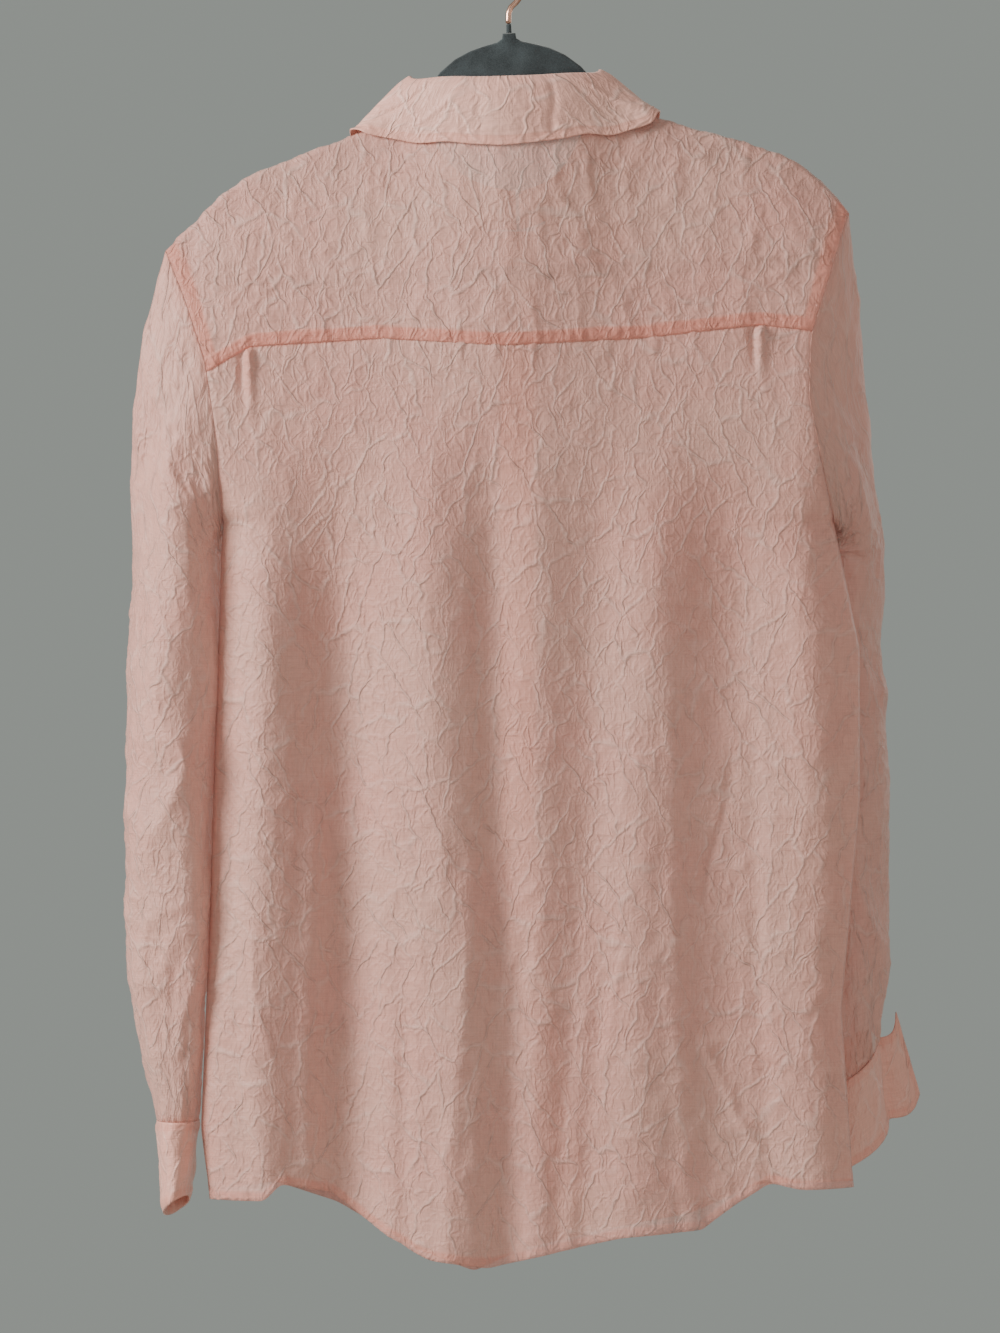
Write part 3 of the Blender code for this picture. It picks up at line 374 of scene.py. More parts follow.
def make_cloth(name, points, flat, seam, slot, wall, outward=1, closed=False, keep=None):
    """A cloth piece from its grid of points and flat places in mm, with its seam marks, which on the back hold
    painted shade too.
    """
    rows, columns = points.shape[:2]
    grid = bmesh.new()
    bmesh.ops.create_grid(grid, x_segments=columns - 1, y_segments=rows - 1, size=0.5)
    data = bpy.data.meshes.new(name)
    grid.to_mesh(data)
    grid.free()
    data.vertices.foreach_set("co", (points * MM).astype(np.float32).ravel())
    corners = np.empty(len(data.loops), dtype=np.int32)
    data.loops.foreach_get("vertex_index", corners)
    layer = data.uv_layers.new(name="Cloth")
    layer.data.foreach_set("uv", (flat.reshape(-1, 2)[corners] * MM).astype(np.float32).ravel())
    mark = data.attributes.new("seam", "FLOAT", "POINT")
    mark.data.foreach_set("value", np.broadcast_to(seam, (rows, columns)).astype(np.float32).ravel())
    if keep is not None or closed or outward < 0:
        shaped = bmesh.new()
        shaped.from_mesh(data)
        if keep is not None:
            stays = keep.ravel()
            gone = [face for face in shaped.faces if not stays[face.index]]
            bmesh.ops.delete(shaped, geom=gone, context="FACES")
        if closed:
            bmesh.ops.remove_doubles(shaped, verts=shaped.verts, dist=0.000001)
        if outward < 0:
            bmesh.ops.reverse_faces(shaped, faces=shaped.faces)
        shaped.to_mesh(data)
        shaped.free()
    data.shade_smooth()
    made = add_object(f"{name}_cloth", data, cloth_material(slot))
    solid = made.modifiers.new("Wall", "SOLIDIFY")
    solid.thickness = wall
    solid.offset = 0.0
    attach(made, "root")
    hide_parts(name)
    return made


def flat_places(s, t):
    return np.stack(np.broadcast_arrays(s, t), axis=-1)


# --- Materials ---

def linear(code):
    """An sRGB hex colour as linear values."""
    channels = [int(code[i:i + 2], 16) / 255 for i in (0, 2, 4)]
    return tuple(c / 12.92 if c <= 0.04045 else ((c + 0.055) / 1.055) ** 2.4 for c in channels)


def add_node(tree, kind, settings=(), **sockets):
    """One node with its settings, its sockets' values and the sockets that feed it."""
    made = tree.nodes.new(kind)
    for setting, value in dict(settings).items():
        setattr(made, setting, value)
    for key, value in sockets.items():
        by_number = key[0] == "n" and key[1:].isdigit()
        target = made.inputs[int(key[1:]) if by_number else key.replace("_", " ")]
        if isinstance(value, bpy.types.NodeSocket):
            tree.links.new(value, target)
        else:
            target.default_value = value
    return made


def mixed(tree, share, first, second):
    """The colour between two, each a socket or an sRGB hex code."""
    first, second = ((*linear(c), 1.0) if isinstance(c, str) else c for c in (first, second))
    return add_node(tree, "ShaderNodeMix", {"data_type": "RGBA"}, n0=share, n6=first, n7=second).outputs[2]


def set_inputs(shader, **values):
    for key, value in values.items():
        shader.inputs[key.replace("_", " ")].default_value = value


def new_material(name):
    made = bpy.data.materials.new(name)
    made.use_nodes = True
    tree = made.node_tree
    return made, tree, tree.nodes["Principled BSDF"]


def ridges(tree, place, cell, width):
    """Ridges between cells of a size in metres; the width is a share of the cell."""
    edges = add_node(tree, "ShaderNodeTexVoronoi", {"feature": "DISTANCE_TO_EDGE", "voronoi_dimensions": "2D"},
                     Vector=place, Scale=1 / cell)
    return add_node(tree, "ShaderNodeMapRange", {"interpolation_type": "SMOOTHSTEP"},
                    n0=edges.outputs["Distance"], n1=0.0, n2=width, n3=1.0, n4=0.0).outputs[0]


def flat_noise(tree, place, scale, detail):
    """Outputs of a noise over the flat cloth."""
    return add_node(tree, "ShaderNodeTexNoise", {"noise_dimensions": "2D"}, Vector=place, Scale=scale,
                    Detail=detail).outputs


def cloth_material(slot):
    """Crinkled silk habotai: light plain-weave silk pressed into a fine crinkle.

    It gives the eye a soft sheen on each small ridge, a powdery edge and a little see-through
    where one layer hangs alone; the collar, cuffs and plackets are the same silk sewn double.
    """
    double = slot == "silk_double"
    name = "crinkled_silk_habotai_double" if double else "crinkled_silk_habotai"
    known = bpy.data.materials.get(name)
    if known:
        return known
    finish = bpy.context.scene.blouse_finish
    made, tree, shader = new_material(name)
    place = add_node(tree, "ShaderNodeTexCoord").outputs["UV"]
    # The press of the crinkle wanders by about 3 mm over 12 mm, so no line in it runs straight.
    wander = flat_noise(tree, place, 80.0, 1.0)["Color"]
    centred = add_node(tree, "ShaderNodeVectorMath", {"operation": "SUBTRACT"}, n0=wander, n1=(0.5, 0.5, 0.5))
    warped = add_node(tree, "ShaderNodeVectorMath", {"operation": "MULTIPLY_ADD"}, n0=centred.outputs[0],
                      n1=(0.007, 0.007, 0.0), n2=place).outputs[0]
    upright = add_node(tree, "ShaderNodeMapping", Vector=warped, Scale=(1.0, 0.6, 1.0)).outputs[0]
    # Crinkle cells of about 6 mm and 3 mm between ridges under a millimetre wide.
    coarse_ridge = ridges(tree, upright, 0.0065, 0.22)
    fine_ridge = ridges(tree, upright, 0.0034, 0.3)
    # Long pressed creases lean both ways, 15 mm apart and 1 mm wide; a patch of each fades into the other.
    lean = flat_noise(tree, place, 24.0, 1.0)[0]
    pressed = None
    for turn, low, high in ((0.42, 0.42, 0.58), (-0.5, 0.56, 0.4)):
        turned = add_node(tree, "ShaderNodeMapping", Vector=warped, Rotation=(0.0, 0.0, turn)).outputs[0]
        turned = add_node(tree, "ShaderNodeMapping", Vector=turned, Scale=(1.0, 0.36, 1.0)).outputs[0]
        lines = ridges(tree, turned, 0.015, 0.085)
        here = add_node(tree, "ShaderNodeMapRange", n0=lean, n1=low, n2=high, n3=0.0, n4=1.0).outputs[0]
        lines = add_node(tree, "ShaderNodeMath", {"operation": "MULTIPLY"}, n0=lines, n1=here).outputs[0]
        pressed = lines if pressed is None else add_node(
            tree, "ShaderNodeMath", {"operation": "MAXIMUM"}, n0=pressed, n1=lines).outputs[0]
    # The crinkle comes and goes in patches of about 25 mm.
    patch = flat_noise(tree, place, 40.0, 2.0)[0]
    patch = add_node(tree, "ShaderNodeMapRange", n0=patch, n1=0.35, n2=0.65, n3=0.25, n4=1.0).outputs[0]
    coarse_part = add_node(tree, "ShaderNodeMath", {"operation": "MULTIPLY"}, n0=coarse_ridge, n1=patch).outputs[0]
    # Slubs of the weave: threads lie every 0.1 mm and are drawn every 0.8 mm so that they show.
    weft = add_node(tree, "ShaderNodeMapping", Vector=place, Scale=(70.0, 1250.0, 1.0)).outputs[0]
    weft = flat_noise(tree, weft, 1.0, 1.0)[0]
    warp = add_node(tree, "ShaderNodeMapping", Vector=place, Scale=(1250.0, 60.0, 1.0)).outputs[0]
    warp = flat_noise(tree, warp, 1.0, 1.0)[0]
    weave = add_node(tree, "ShaderNodeMath", {"operation": "ADD"}, n0=weft, n1=warp).outputs[0]
    press = finish.fine_crinkle * (0.55 if double else 1.0)
    height = 0.0
    for pattern, metres in ((pressed, 0.0011 * press), (coarse_part, 0.0008 * press), (fine_ridge, 0.0003 * press),
                            (weave, 0.00016)):
        height = add_node(tree, "ShaderNodeMath", {"operation": "MULTIPLY_ADD"}, n0=pattern, n1=metres,
                          n2=height).outputs[0]
    bump = add_node(tree, "ShaderNodeBump", Distance=1.0, Height=height, Strength=1.0).outputs[0]
    tree.links.new(bump, shader.inputs["Normal"])

    body = (*(finish.double_silk if double else finish.silk), 1.0)
    rose = (*finish.seam_and_shade_silk, 1.0)
    pale = (*finish.pale_silk, 1.0)
    cloudy = flat_noise(tree, place, 13.0, 3.0)[0]
    cloudy = add_node(tree, "ShaderNodeMapRange", n0=cloudy, n1=0.3, n2=0.7, n3=0.0, n4=0.45).outputs[0]
    colour = mixed(tree, cloudy, body, pale)
    # Pressed ridges are painted paler: a painted highlight where they catch the light.
    ridge_highlight = add_node(tree, "ShaderNodeMath", {"operation": "MULTIPLY"}, n0=pressed, n1=0.3).outputs[0]
    colour = mixed(tree, ridge_highlight, colour, (*finish.ridge_highlight_silk, 1.0))
    # The seam mark holds seam allowances and hems, and on the back also painted shade of the placket behind it and of
    # the left pleat's fold.
    mark = add_node(tree, "ShaderNodeAttribute", {"attribute_name": "seam"}).outputs["Fac"]
    colour = mixed(tree, mark, colour, rose)
    slub = add_node(tree, "ShaderNodeMapRange", n0=weave, n1=0.7, n2=1.3, n3=0.94, n4=1.05).outputs[0]
    shade = add_node(tree, "ShaderNodeMix", {"data_type": "RGBA", "blend_type": "MULTIPLY"}, n0=1.0, n6=colour,
                     n7=add_node(tree, "ShaderNodeCombineColor", n0=slub, n1=slub, n2=slub).outputs[0]).outputs[2]
    tree.links.new(shade, shader.inputs["Base Color"])
    set_inputs(shader, Roughness=0.48, IOR=1.5, Specular_IOR_Level=0.35, Sheen_Weight=0.35,
               Sheen_Roughness=0.45, Sheen_Tint=(1.0, 0.86, 0.80, 1.0), Alpha=0.93 if double else finish.cover)
    return made


def shell_material():
    """Dyed shell or shell-like polyester: satin with a faint cloud and a thin clear coat."""
    made, tree, shader = new_material("dyed_shell")
    place = add_node(tree, "ShaderNodeTexCoord").outputs["Object"]
    cloud = add_node(tree, "ShaderNodeTexNoise", Vector=place, Scale=260.0, Detail=3.0, Distortion=1.5).outputs[0]
    tree.links.new(mixed(tree, cloud, "D9AE9F", "EFD6CC"), shader.inputs["Base Color"])
    set_inputs(shader, Roughness=0.28, IOR=1.56, Coat_Weight=0.4, Coat_Roughness=0.12)
    return made


def thread_material():
    """Spun polyester thread: matt, a little deeper than the silk, so each stitch shows."""
    known = bpy.data.materials.get("spun_polyester_thread")
    if known:
        return known
    made, tree, shader = new_material("spun_polyester_thread")
    place = add_node(tree, "ShaderNodeTexCoord").outputs["Object"]
    twist = add_node(tree, "ShaderNodeTexNoise", Vector=place, Scale=1500.0).outputs[0]
    tree.links.new(mixed(tree, twist, "C08E7F", "DDB5A7"), shader.inputs["Base Color"])
    set_inputs(shader, Roughness=0.75, Sheen_Weight=0.2)
    return made


def flock_material():
    """Nylon flock on a moulded core: short upright fibres that drink the light, pale at the rim."""
    made, tree, shader = new_material("nylon_flock")
    place = add_node(tree, "ShaderNodeTexCoord").outputs["Object"]
    # Fibres are 0.02 mm thick and are drawn as 0.5 mm specks.
    specks = add_node(tree, "ShaderNodeTexNoise", Vector=place, Scale=2000.0, Detail=2.0).outputs[0]
    brushed = add_node(tree, "ShaderNodeTexNoise", Vector=place, Scale=60.0, Detail=2.0).outputs[0]
    both = add_node(tree, "ShaderNodeMath", {"operation": "ADD"}, n0=specks, n1=brushed).outputs[0]
    share = add_node(tree, "ShaderNodeMapRange", n0=both, n1=0.7, n2=1.3).outputs[0]
    tree.links.new(mixed(tree, share, "23292B", "454E51"), shader.inputs["Base Color"])
    bump = add_node(tree, "ShaderNodeBump", Distance=0.0002, Height=specks).outputs[0]
    tree.links.new(bump, shader.inputs["Normal"])
    set_inputs(shader, Roughness=0.95, Specular_IOR_Level=0.2, Sheen_Weight=0.6, Sheen_Roughness=0.5)
    return made


def copper_material():
    """Copper-plated steel wire: a warm bright metal with faint drawing lines."""
    made, tree, shader = new_material("copper_plated_steel")
    place = add_node(tree, "ShaderNodeTexCoord").outputs["Object"]
    drawn = add_node(tree, "ShaderNodeMapping", Vector=place, Scale=(900.0, 900.0, 60.0)).outputs[0]
    lines = add_node(tree, "ShaderNodeTexNoise", Vector=drawn, Scale=1.0, Detail=2.0).outputs[0]
    rough = add_node(tree, "ShaderNodeMapRange", n0=lines, n3=0.2, n4=0.36).outputs[0]
    tree.links.new(rough, shader.inputs["Roughness"])
    tree.links.new(mixed(tree, lines, "C08C74", "E0B7A2"), shader.inputs["Base Color"])
    set_inputs(shader, Metallic=1.0)
    return made


# --- Stitches ---

def walk(points, rows, columns):
    """Points and normals of a grid at fractional row and column numbers."""
    out = []
    for values in (points, normals(points)):
        low_row = np.clip(np.floor(rows).astype(int), 0, points.shape[0] - 2)
        low_column = np.clip(np.floor(columns).astype(int), 0, points.shape[1] - 2)
        a, b = (rows - low_row)[:, None], (columns - low_column)[:, None]
        first = values[low_row, low_column] * (1 - b) + values[low_row, low_column + 1] * b
        second = values[low_row + 1, low_column] * (1 - b) + values[low_row + 1, low_column + 1] * b
        out.append(first * (1 - a) + second * a)
    return out


def make_stitches(name, lines, pitch=2.9, length=2.2, thick=0.42):
    """A row of lockstitches along each line of points and outward normals, in one piece."""
    sewn = bmesh.new()
    for points, out in lines:
        steps = np.linalg.norm(np.diff(points, axis=0), axis=1)
        along = np.concatenate(([0.0], np.cumsum(steps)))
        for start in np.arange(pitch / 2, along[-1] - length, pitch):
            ends = [Vector([np.interp(at, along, points[:, axis]) for axis in range(3)])
                    for at in (start, start + length)]
            away = Vector([np.interp(start, along, out[:, axis]) for axis in range(3)]).normalized()
            run = (ends[1] - ends[0]).normalized()
            side = away.cross(run).normalized()
            turn = Matrix((side, away, run)).transposed().to_4x4()
            middle = (ends[0] + ends[1]) / 2 + away * 0.3
            flat = Matrix.Diagonal((1.0, 0.7, 1.0, 1.0))
            bmesh.ops.create_cone(sewn, cap_ends=True, segments=6, radius1=thick / 2 * MM, radius2=thick / 2 * MM,
                                  depth=length * MM, matrix=Matrix.Translation(middle * MM) @ turn @ flat)
    bmesh.ops.recalc_face_normals(sewn, faces=sewn.faces)
    data = bpy.data.meshes.new(name)
    sewn.to_mesh(data)
    sewn.free()
    data.shade_smooth()
    made = add_object(name, data, thread_material())
    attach(made, "root")
    return made


# --- Body ---

def level(z, low, high):
    return smooth((z - low) / (high - low))


def puckers(s, distance, period, reach, height, seed):
    """Small gathers along a stitched line, which die away from it."""
    wave = np.sin(2 * math.pi * (s + 2.6 * drift(s, s * 0 + seed, 11.0, seed)) / period + 0.12 * distance)
    uneven = 0.65 + 0.5 * drift(s, s * 0 + seed, 17.0, seed + 2)
    return height * wave * uneven * np.exp(-np.abs(distance) / reach)


def creases(x, z):
    """Single creases, each from one place to another."""
    total = np.zeros(x.shape)
    for x0, z0, x1, z1, width, height in CREASES:
        length = math.hypot(x1 - x0, z1 - z0)
        along = ((x - x0) * (x1 - x0) + (z - z0) * (z1 - z0)) / length
        across = (x - x0) * (z1 - z0) / length - (z - z0) * (x1 - x0) / length
        across = across + 2.2 * np.sin(along / 17.0 + x0)
        ends = smooth(along / 22.0) * smooth((length - along) / 22.0)
        total += height * ends * bell(across, width)
    return total


class BLOUSE_OT_back(bpy.types.Operator):
    """Make the back panel, with its gathers under the yoke and its rolled shirt-tail hem"""
    bl_idname = "blouse.back"
    bl_label = "Back panel"

    def execute(self, context):
        sizes = context.scene.blouse_sizes
        rows, columns = 236, 188
        part = np.linspace(1.0, 0.0, rows)[:, None]

        def height_at(x):
            top = read(YOKE_SEAM, x, spread=8.0) + UNDER_YOKE
            return top + part * (read(BACK_HEM, x, spread=5.0) - top)

        left, right = settled(-1, height_at), settled(1, height_at)
        x = left + (right - left) * even(columns, 0.25)[None, :]
        z = height_at(x)
        y = body_y(x, z, False)
        points = np.stack((x, y, z), axis=2)
        seam_z = read(YOKE_SEAM, x, spread=8.0)
        hem_z = read(BACK_HEM, x, spread=5.0)
        below_seam, above_hem = seam_z - z, z - hem_z
        inside = np.minimum(x - left, right - x)
        free = smooth(inside / 7.0) * smooth((below_seam - 0.5) / 7.0)
        rise = sizes.crinkle * crinkle(x, z, 3) * free * (0.72 + 0.28 * smooth((-420 - z) / 200))
        lower_right = smooth((x + 20) / 140) * smooth((-540 - z) / 160)
        rise += 0.7 * lower_right * free * crinkle(x * 0.8 + 0.5 * z, z * 0.9 - 0.4 * x, 27, 0.9)
        rise += creases(x, z) * free
        rise += puckers(x, below_seam, 7.5, 10.0, 0.7, 5) * smooth((below_seam + 1) / 2)
        for pleat_x, fall in PLEATS:
            lean = pleat_x + 0.05 * below_seam
            held = smooth(1.0 - below_seam / fall) * (below_seam > 0)
            rise += 4.2 * bell(x - lean, 2.4) * held
            rise -= 3.0 * bell(x - lean + 5.0, 2.6) * held
        for tuck_x, fall in TUCKS:
            held = smooth(1.0 - below_seam / fall) * (below_seam > 0)
            rise += bell(x - tuck_x - 0.06 * below_seam, 2.4) * held
        rise += puckers(x, above_hem - 5.5, 6.0, 6.5, 0.75, 9) + 0.45 * (above_hem < 6.0)
        rise += 3.2 * drift(x, z * 0.0 + 3.0, 34.0, 41) * np.exp(-above_hem / 42.0) * smooth(inside / 20)
        rise -= 0.85 * smooth((0.5 - below_seam) / 1.0)
        seam = 0.85 * smooth((0.2 - below_seam) / 0.8) + 0.55 * smooth((HEM_WIDTH - above_hem) / 0.8)
        # A stripe of painted shade where the placket in front holds back the light that comes through the sheer back,
        # and a deeper line of painted shade in the fold of the left pleat.
        seam += 0.2 * smooth((x + 5) / 3) * smooth((20 - x) / 3) * smooth((z + 640) / 90)
        seam += 0.45 * bell(x - PLEATS[0][0], 3.0) * (below_seam > 0) * smooth(1 - below_seam / PLEATS[0][1])
        made = make_cloth("back_panel", raised(points, rise), flat_places(x, z + 900), np.clip(seam, 0, 1),
                          "silk", sizes.wall, outward=1)
        return {"FINISHED"}


class BLOUSE_OT_yoke(bpy.types.Operator):
    """Make the yoke, from its puckered back seam over the shoulders to its front seams"""
    bl_idname = "blouse.yoke"
    bl_label = "Yoke"

    def execute(self, context):
        sizes = context.scene.blouse_sizes
        side_columns, neck_columns = 64, 56
        back_rows, crest_rows_count = 96, 42
        upward = np.linspace(0.0, 1.0, back_rows)[:, None]
        over = np.linspace(-NECK_W, YOKE_FRONT, crest_rows_count)[1:, None]

        def neck_depth(x):
            return np.where(np.abs(x) < NECK_HALF, crest(x) - neck_back_z(x), drop(NECK_W))

        def heights(x):
            """z of every row at x, where x has one value or one for each row and column."""
            x = np.broadcast_to(np.asarray(x, float), (back_rows + len(over), np.shape(x)[-1] if np.ndim(x) else 1))
            upper, lower = x[:back_rows], x[back_rows:]
            seam = crest(upper) - read(YOKE_SEAM, upper, spread=8.0)
            back = crest(upper) - (seam + upward * (neck_depth(upper) - seam))
            return np.concatenate((back, crest(lower) - drop(over)))

        left, right = settled(-1, heights), settled(1, heights)
        ramp = np.linspace(0.0, 1.0, side_columns + 1)
        left_part = left + (-NECK_HALF - left) * ramp[None, :-1]
        middle = np.broadcast_to(np.linspace(-NECK_HALF, NECK_HALF, neck_columns + 1)[None, :-1],
                                 (left.shape[0], neck_columns))
        right_part = NECK_HALF + (right - NECK_HALF) * ramp[None, :]
        x = np.concatenate((left_part, middle, right_part), axis=1)
        z = heights(x)
        front = np.zeros(x.shape, bool)
        front[back_rows:] = np.broadcast_to(over > 0, (len(over), x.shape[1]))
        y = body_y(x, z, front)
        points = np.stack((x, y, z), axis=2)
        above_seam = z - read(YOKE_SEAM, x, spread=8.0)
        above_seam[back_rows:] = 200.0
        inside = np.minimum(x - left, right - x)
        s, t = x, np.concatenate((z[:back_rows], z[back_rows - 1:back_rows] + (over + NECK_W)))
        near_neck = smooth((np.abs(x) - NECK_HALF) / 8.0)
        near_neck[:back_rows] = np.maximum(near_neck[:back_rows], smooth((1 - upward) * 14))
        free = smooth(inside / 6.0) * smooth((above_seam + 0.5) / 3.0) * near_neck
        front_end = smooth((YOKE_FRONT - over) / 6.0)
        free[back_rows:] *= front_end
        rise = sizes.crinkle * 1.12 * crinkle(s + 300, t, 8, 1.12) * free
        rise += puckers(x, above_seam - 4.5, 6.6, 6.0, 0.85, 21) * smooth(above_seam / 2.0)
        rise += puckers(t, inside - 4.0, 8.0, 4.5, 0.5, 31) * smooth(inside / 2.0) * smooth(above_seam / 3)
        band = smooth(BAND_WIDTH - above_seam)
        strip = smooth((ARMHOLE_STRIP - inside) / 1.2) * 0.8
        rise += 0.5 * band * smooth(above_seam) + 0.35 * strip
        seam = np.clip(np.maximum(band * 0.8, strip * 0.95), 0, 1)
        keep = np.ones((x.shape[0] - 1, x.shape[1] - 1), bool)
        keep[back_rows - 1:, side_columns:side_columns + neck_columns] = False
        made = make_cloth("yoke", raised(points, rise), flat_places(s + 500, t + 900), seam, "silk", sizes.wall,
                          keep=keep)
        return {"FINISHED"}


def front_top(x):
    """Top edge of the fronts: the yoke's front seam, then the neck."""
    corner = crest(np.where(x < 0, -NECK_HALF, NECK_HALF)) - drop(YOKE_FRONT) - 0.2
    neck = corner - (corner - FRONT_NECK_Z) * np.sqrt(np.maximum(1.0 - (x / NECK_HALF) ** 2, 0.0))
    return np.where(np.abs(x) >= NECK_HALF, crest(x) - drop(YOKE_FRONT) - 0.2, neck)


def placket_x(z):
    return read(PLACKET_LINE, z, spread=30.0)


def front_rise(x, z, side):
    """Crinkle of a front, calm where its pocket lies on it."""
    first, last, top, bottom = POCKETS[side]
    under = level(x, first - 4, first + 4) * level(-x, -last - 4, -last + 4)
    under = under * level(z, bottom - 4, bottom + 4) * level(-z, -top - 4, -top + 4)
    return crinkle(x + 700, z, 15) * (1.0 - 0.75 * under)


class BLOUSE_OT_fronts(bpy.types.Operator):
    """Make the two fronts and the pocket that lies on each"""
    bl_idname = "blouse.fronts"
    bl_label = "Fronts and pockets"

    def execute(self, context):
        sizes = context.scene.blouse_sizes
        for side, name in ((-1, "left"), (1, "right")):
            rows, columns = 226, 104
            part = np.linspace(0.0, 1.0, rows)[:, None]

            def height_at(x):
                return front_top(x) + part * (read(FRONT_HEM, x, spread=5.0) - front_top(x))

            outer = settled(side, height_at)
            guess = np.linspace(FRONT_NECK_Z, -850.0, rows)[:, None]
            inner = placket_x(guess) + side * (PLACKET_WIDTH / 2 - 1.5)
            share = even(columns, 0.3)[None, :]
            x = inner + (outer - inner) * share if side > 0 else outer + (inner - outer) * share
            z = height_at(x)
            from_placket = np.abs(x - inner)
            lap = 2.1 * smooth(1.0 - (from_placket - 2.0) / 16.0) if side > 0 else 0.0
            y = body_y(x, z, True) + lap
            points = np.stack((x, y, z), axis=2)
            above_hem, below_top = z - read(FRONT_HEM, x, spread=5.0), front_top(x) - z
            inside = np.abs(outer - x)
            free = smooth(inside / 7.0) * smooth(below_top / 6.0) * smooth(from_placket / 4.0)
            rise = sizes.crinkle * front_rise(x, z, side) * free
            rise += puckers(x, above_hem - 5.5, 6.0, 6.5, 0.7, 12) + 0.4 * (above_hem < 6.0)
            rise += 2.4 * drift(x, z * 0.0 + 7.0, 30.0, 44) * np.exp(-above_hem / 36.0) * smooth(inside / 20)
            rise += puckers(x, below_top, 9.0, 14.0, 0.8, 16) * smooth(below_top / 4.0) * (np.abs(x) > NECK_HALF + 4)
            seam = 0.55 * smooth((HEM_WIDTH - above_hem) / 0.8)
            made = make_cloth(f"front_{name}", raised(points, rise), flat_places(x + 500, z + 900), seam, "silk",
                              sizes.wall)
            self.make_pocket(side, name, sizes)
        return {"FINISHED"}

    def make_pocket(self, side, name, sizes):
        first, last, top, bottom = POCKETS[side]
        rows, columns = 64, 54
        x = np.broadcast_to(np.linspace(first, last, columns)[None, :], (rows, columns))
        z = np.broadcast_to(np.linspace(top, bottom, rows)[:, None], (rows, columns))
        points = np.stack((x, body_y(x, z, True), z), axis=2)
        rim = np.minimum(np.minimum(x - first, last - x), z - bottom)
        below_top = top - z
        rise = 1.25 + sizes.crinkle * 0.7 * crinkle(x + 100, z, 33) * smooth(rim / 4.0) * smooth(below_top / 4.0)
        rise = rise + puckers(x + z, rim, 8.0, 4.0, 0.3, 35) - 0.75 * smooth(1.0 - rim / 1.5)
        rise = rise + 0.5 * smooth(POCKET_HEM - below_top) + 0.3 * drift(x, z, 30.0, 36)
        band = smooth((POCKET_HEM - below_top) / 0.8)
        seam = np.clip(0.5 * smooth((6.0 - rim) / 0.8) + 0.45 * band, 0, 0.6)
        shaped = raised(points, rise)
        made = make_cloth(f"pocket_{name}", shaped, flat_places(x + 500, z + 900), seam, "silk", sizes.wall)
        inset_row, inset_column = 2.0 * (rows - 1) / (top - bottom), 2.0 * (columns - 1) / (last - first)
        count = 90
        last_row, last_column = rows - 1 - inset_row, columns - 1 - inset_column
        hem_row = (POCKET_HEM - 1.0) * (rows - 1) / (top - bottom)
        down = np.linspace(0, last_row, count)
        lines = [walk(shaped, down, np.full(count, inset_column)),
                 walk(shaped, np.full(count, last_row), np.linspace(inset_column, last_column, count)),
                 walk(shaped, down, np.full(count, last_column)),
                 walk(shaped, np.full(count, hem_row), np.linspace(1, columns - 2, count))]
        sewn = make_stitches(f"pocket_{name}_stitches", lines)


class BLOUSE_OT_plackets(bpy.types.Operator):
    """Make the button stand and the buttonhole band that laps over it, with their stitches"""
    bl_idname = "blouse.plackets"
    bl_label = "Plackets"

    def execute(self, context):
        sizes = context.scene.blouse_sizes
        for name, lift in (("left", 0.35), ("right", 2.35)):
            rows, columns = 300, 15
            part = np.linspace(0.0, 1.0, rows)[:, None]
            across = np.linspace(-1.0, 1.0, columns)[None, :]
            guess = FRONT_NECK_Z + part * (-850.0 - FRONT_NECK_Z)
            x = placket_x(guess) + across * PLACKET_WIDTH / 2
            top = front_top(placket_x(guess))
            z = top + part * (read(FRONT_HEM, x, spread=5.0) - top)
            points = np.stack((x, body_y(x, z, True), z), axis=2)
            rim = (1.0 - np.abs(across)) * PLACKET_WIDTH / 2
            rise = lift + 0.35 * puckers(z, rim - 2.0, 7.0, 5.0, 1.0, 51) + 0.25 * drift(x, z, 16.0, 52)
            rise = rise + 0.35 * sizes.crinkle * crinkle(x, z, 53) * smooth(rim / 4.0)
            shaped = raised(points, rise)
            made = make_cloth(f"placket_{name}", shaped, flat_places(x + 500, z + 900), 0.15, "silk_double",
                              sizes.double_wall)
            steps = np.linspace(1, rows - 2, 700)
            inset = 2.0 * (columns - 1) / PLACKET_WIDTH
            lines = [walk(shaped, steps, np.full(700, at)) for at in (inset, columns - 1 - inset)]
            sewn = make_stitches(f"placket_{name}_stitches", lines)
        return {"FINISHED"}


# --- Collar ---

def neck_rows():
    """Station, x and way down of the neck seam, from the left front end round the back."""
    def over_front(side):
        return [(x, float(way(crest(x) - front_top(np.array(float(x)))))) for x in NECK_FRONT_X[side]]

    sides = (YOKE_FRONT, 12.0, 5.0, 0.0, -5.0, -NECK_W)
    back = [(x, -float(way(crest(x) - neck_back_z(x)))) for x in np.linspace(-NECK_HALF, NECK_HALF, 9)[1:-1]]
    loop = over_front(-1) + [(-NECK_HALF, w) for w in sides] + back
    loop += [(NECK_HALF, w) for w in reversed(sides)] + over_front(1)[::-1]
    crests = [index for index, (_, w) in enumerate(loop) if w == 0.0]
    marks = [0, crests[0], sum(crests) / 2, crests[1], len(loop) - 1]
    stations = np.interp(range(len(loop)), marks, range(5))
    return [(station, x, w) for station, (x, w) in zip(stations, loop)]


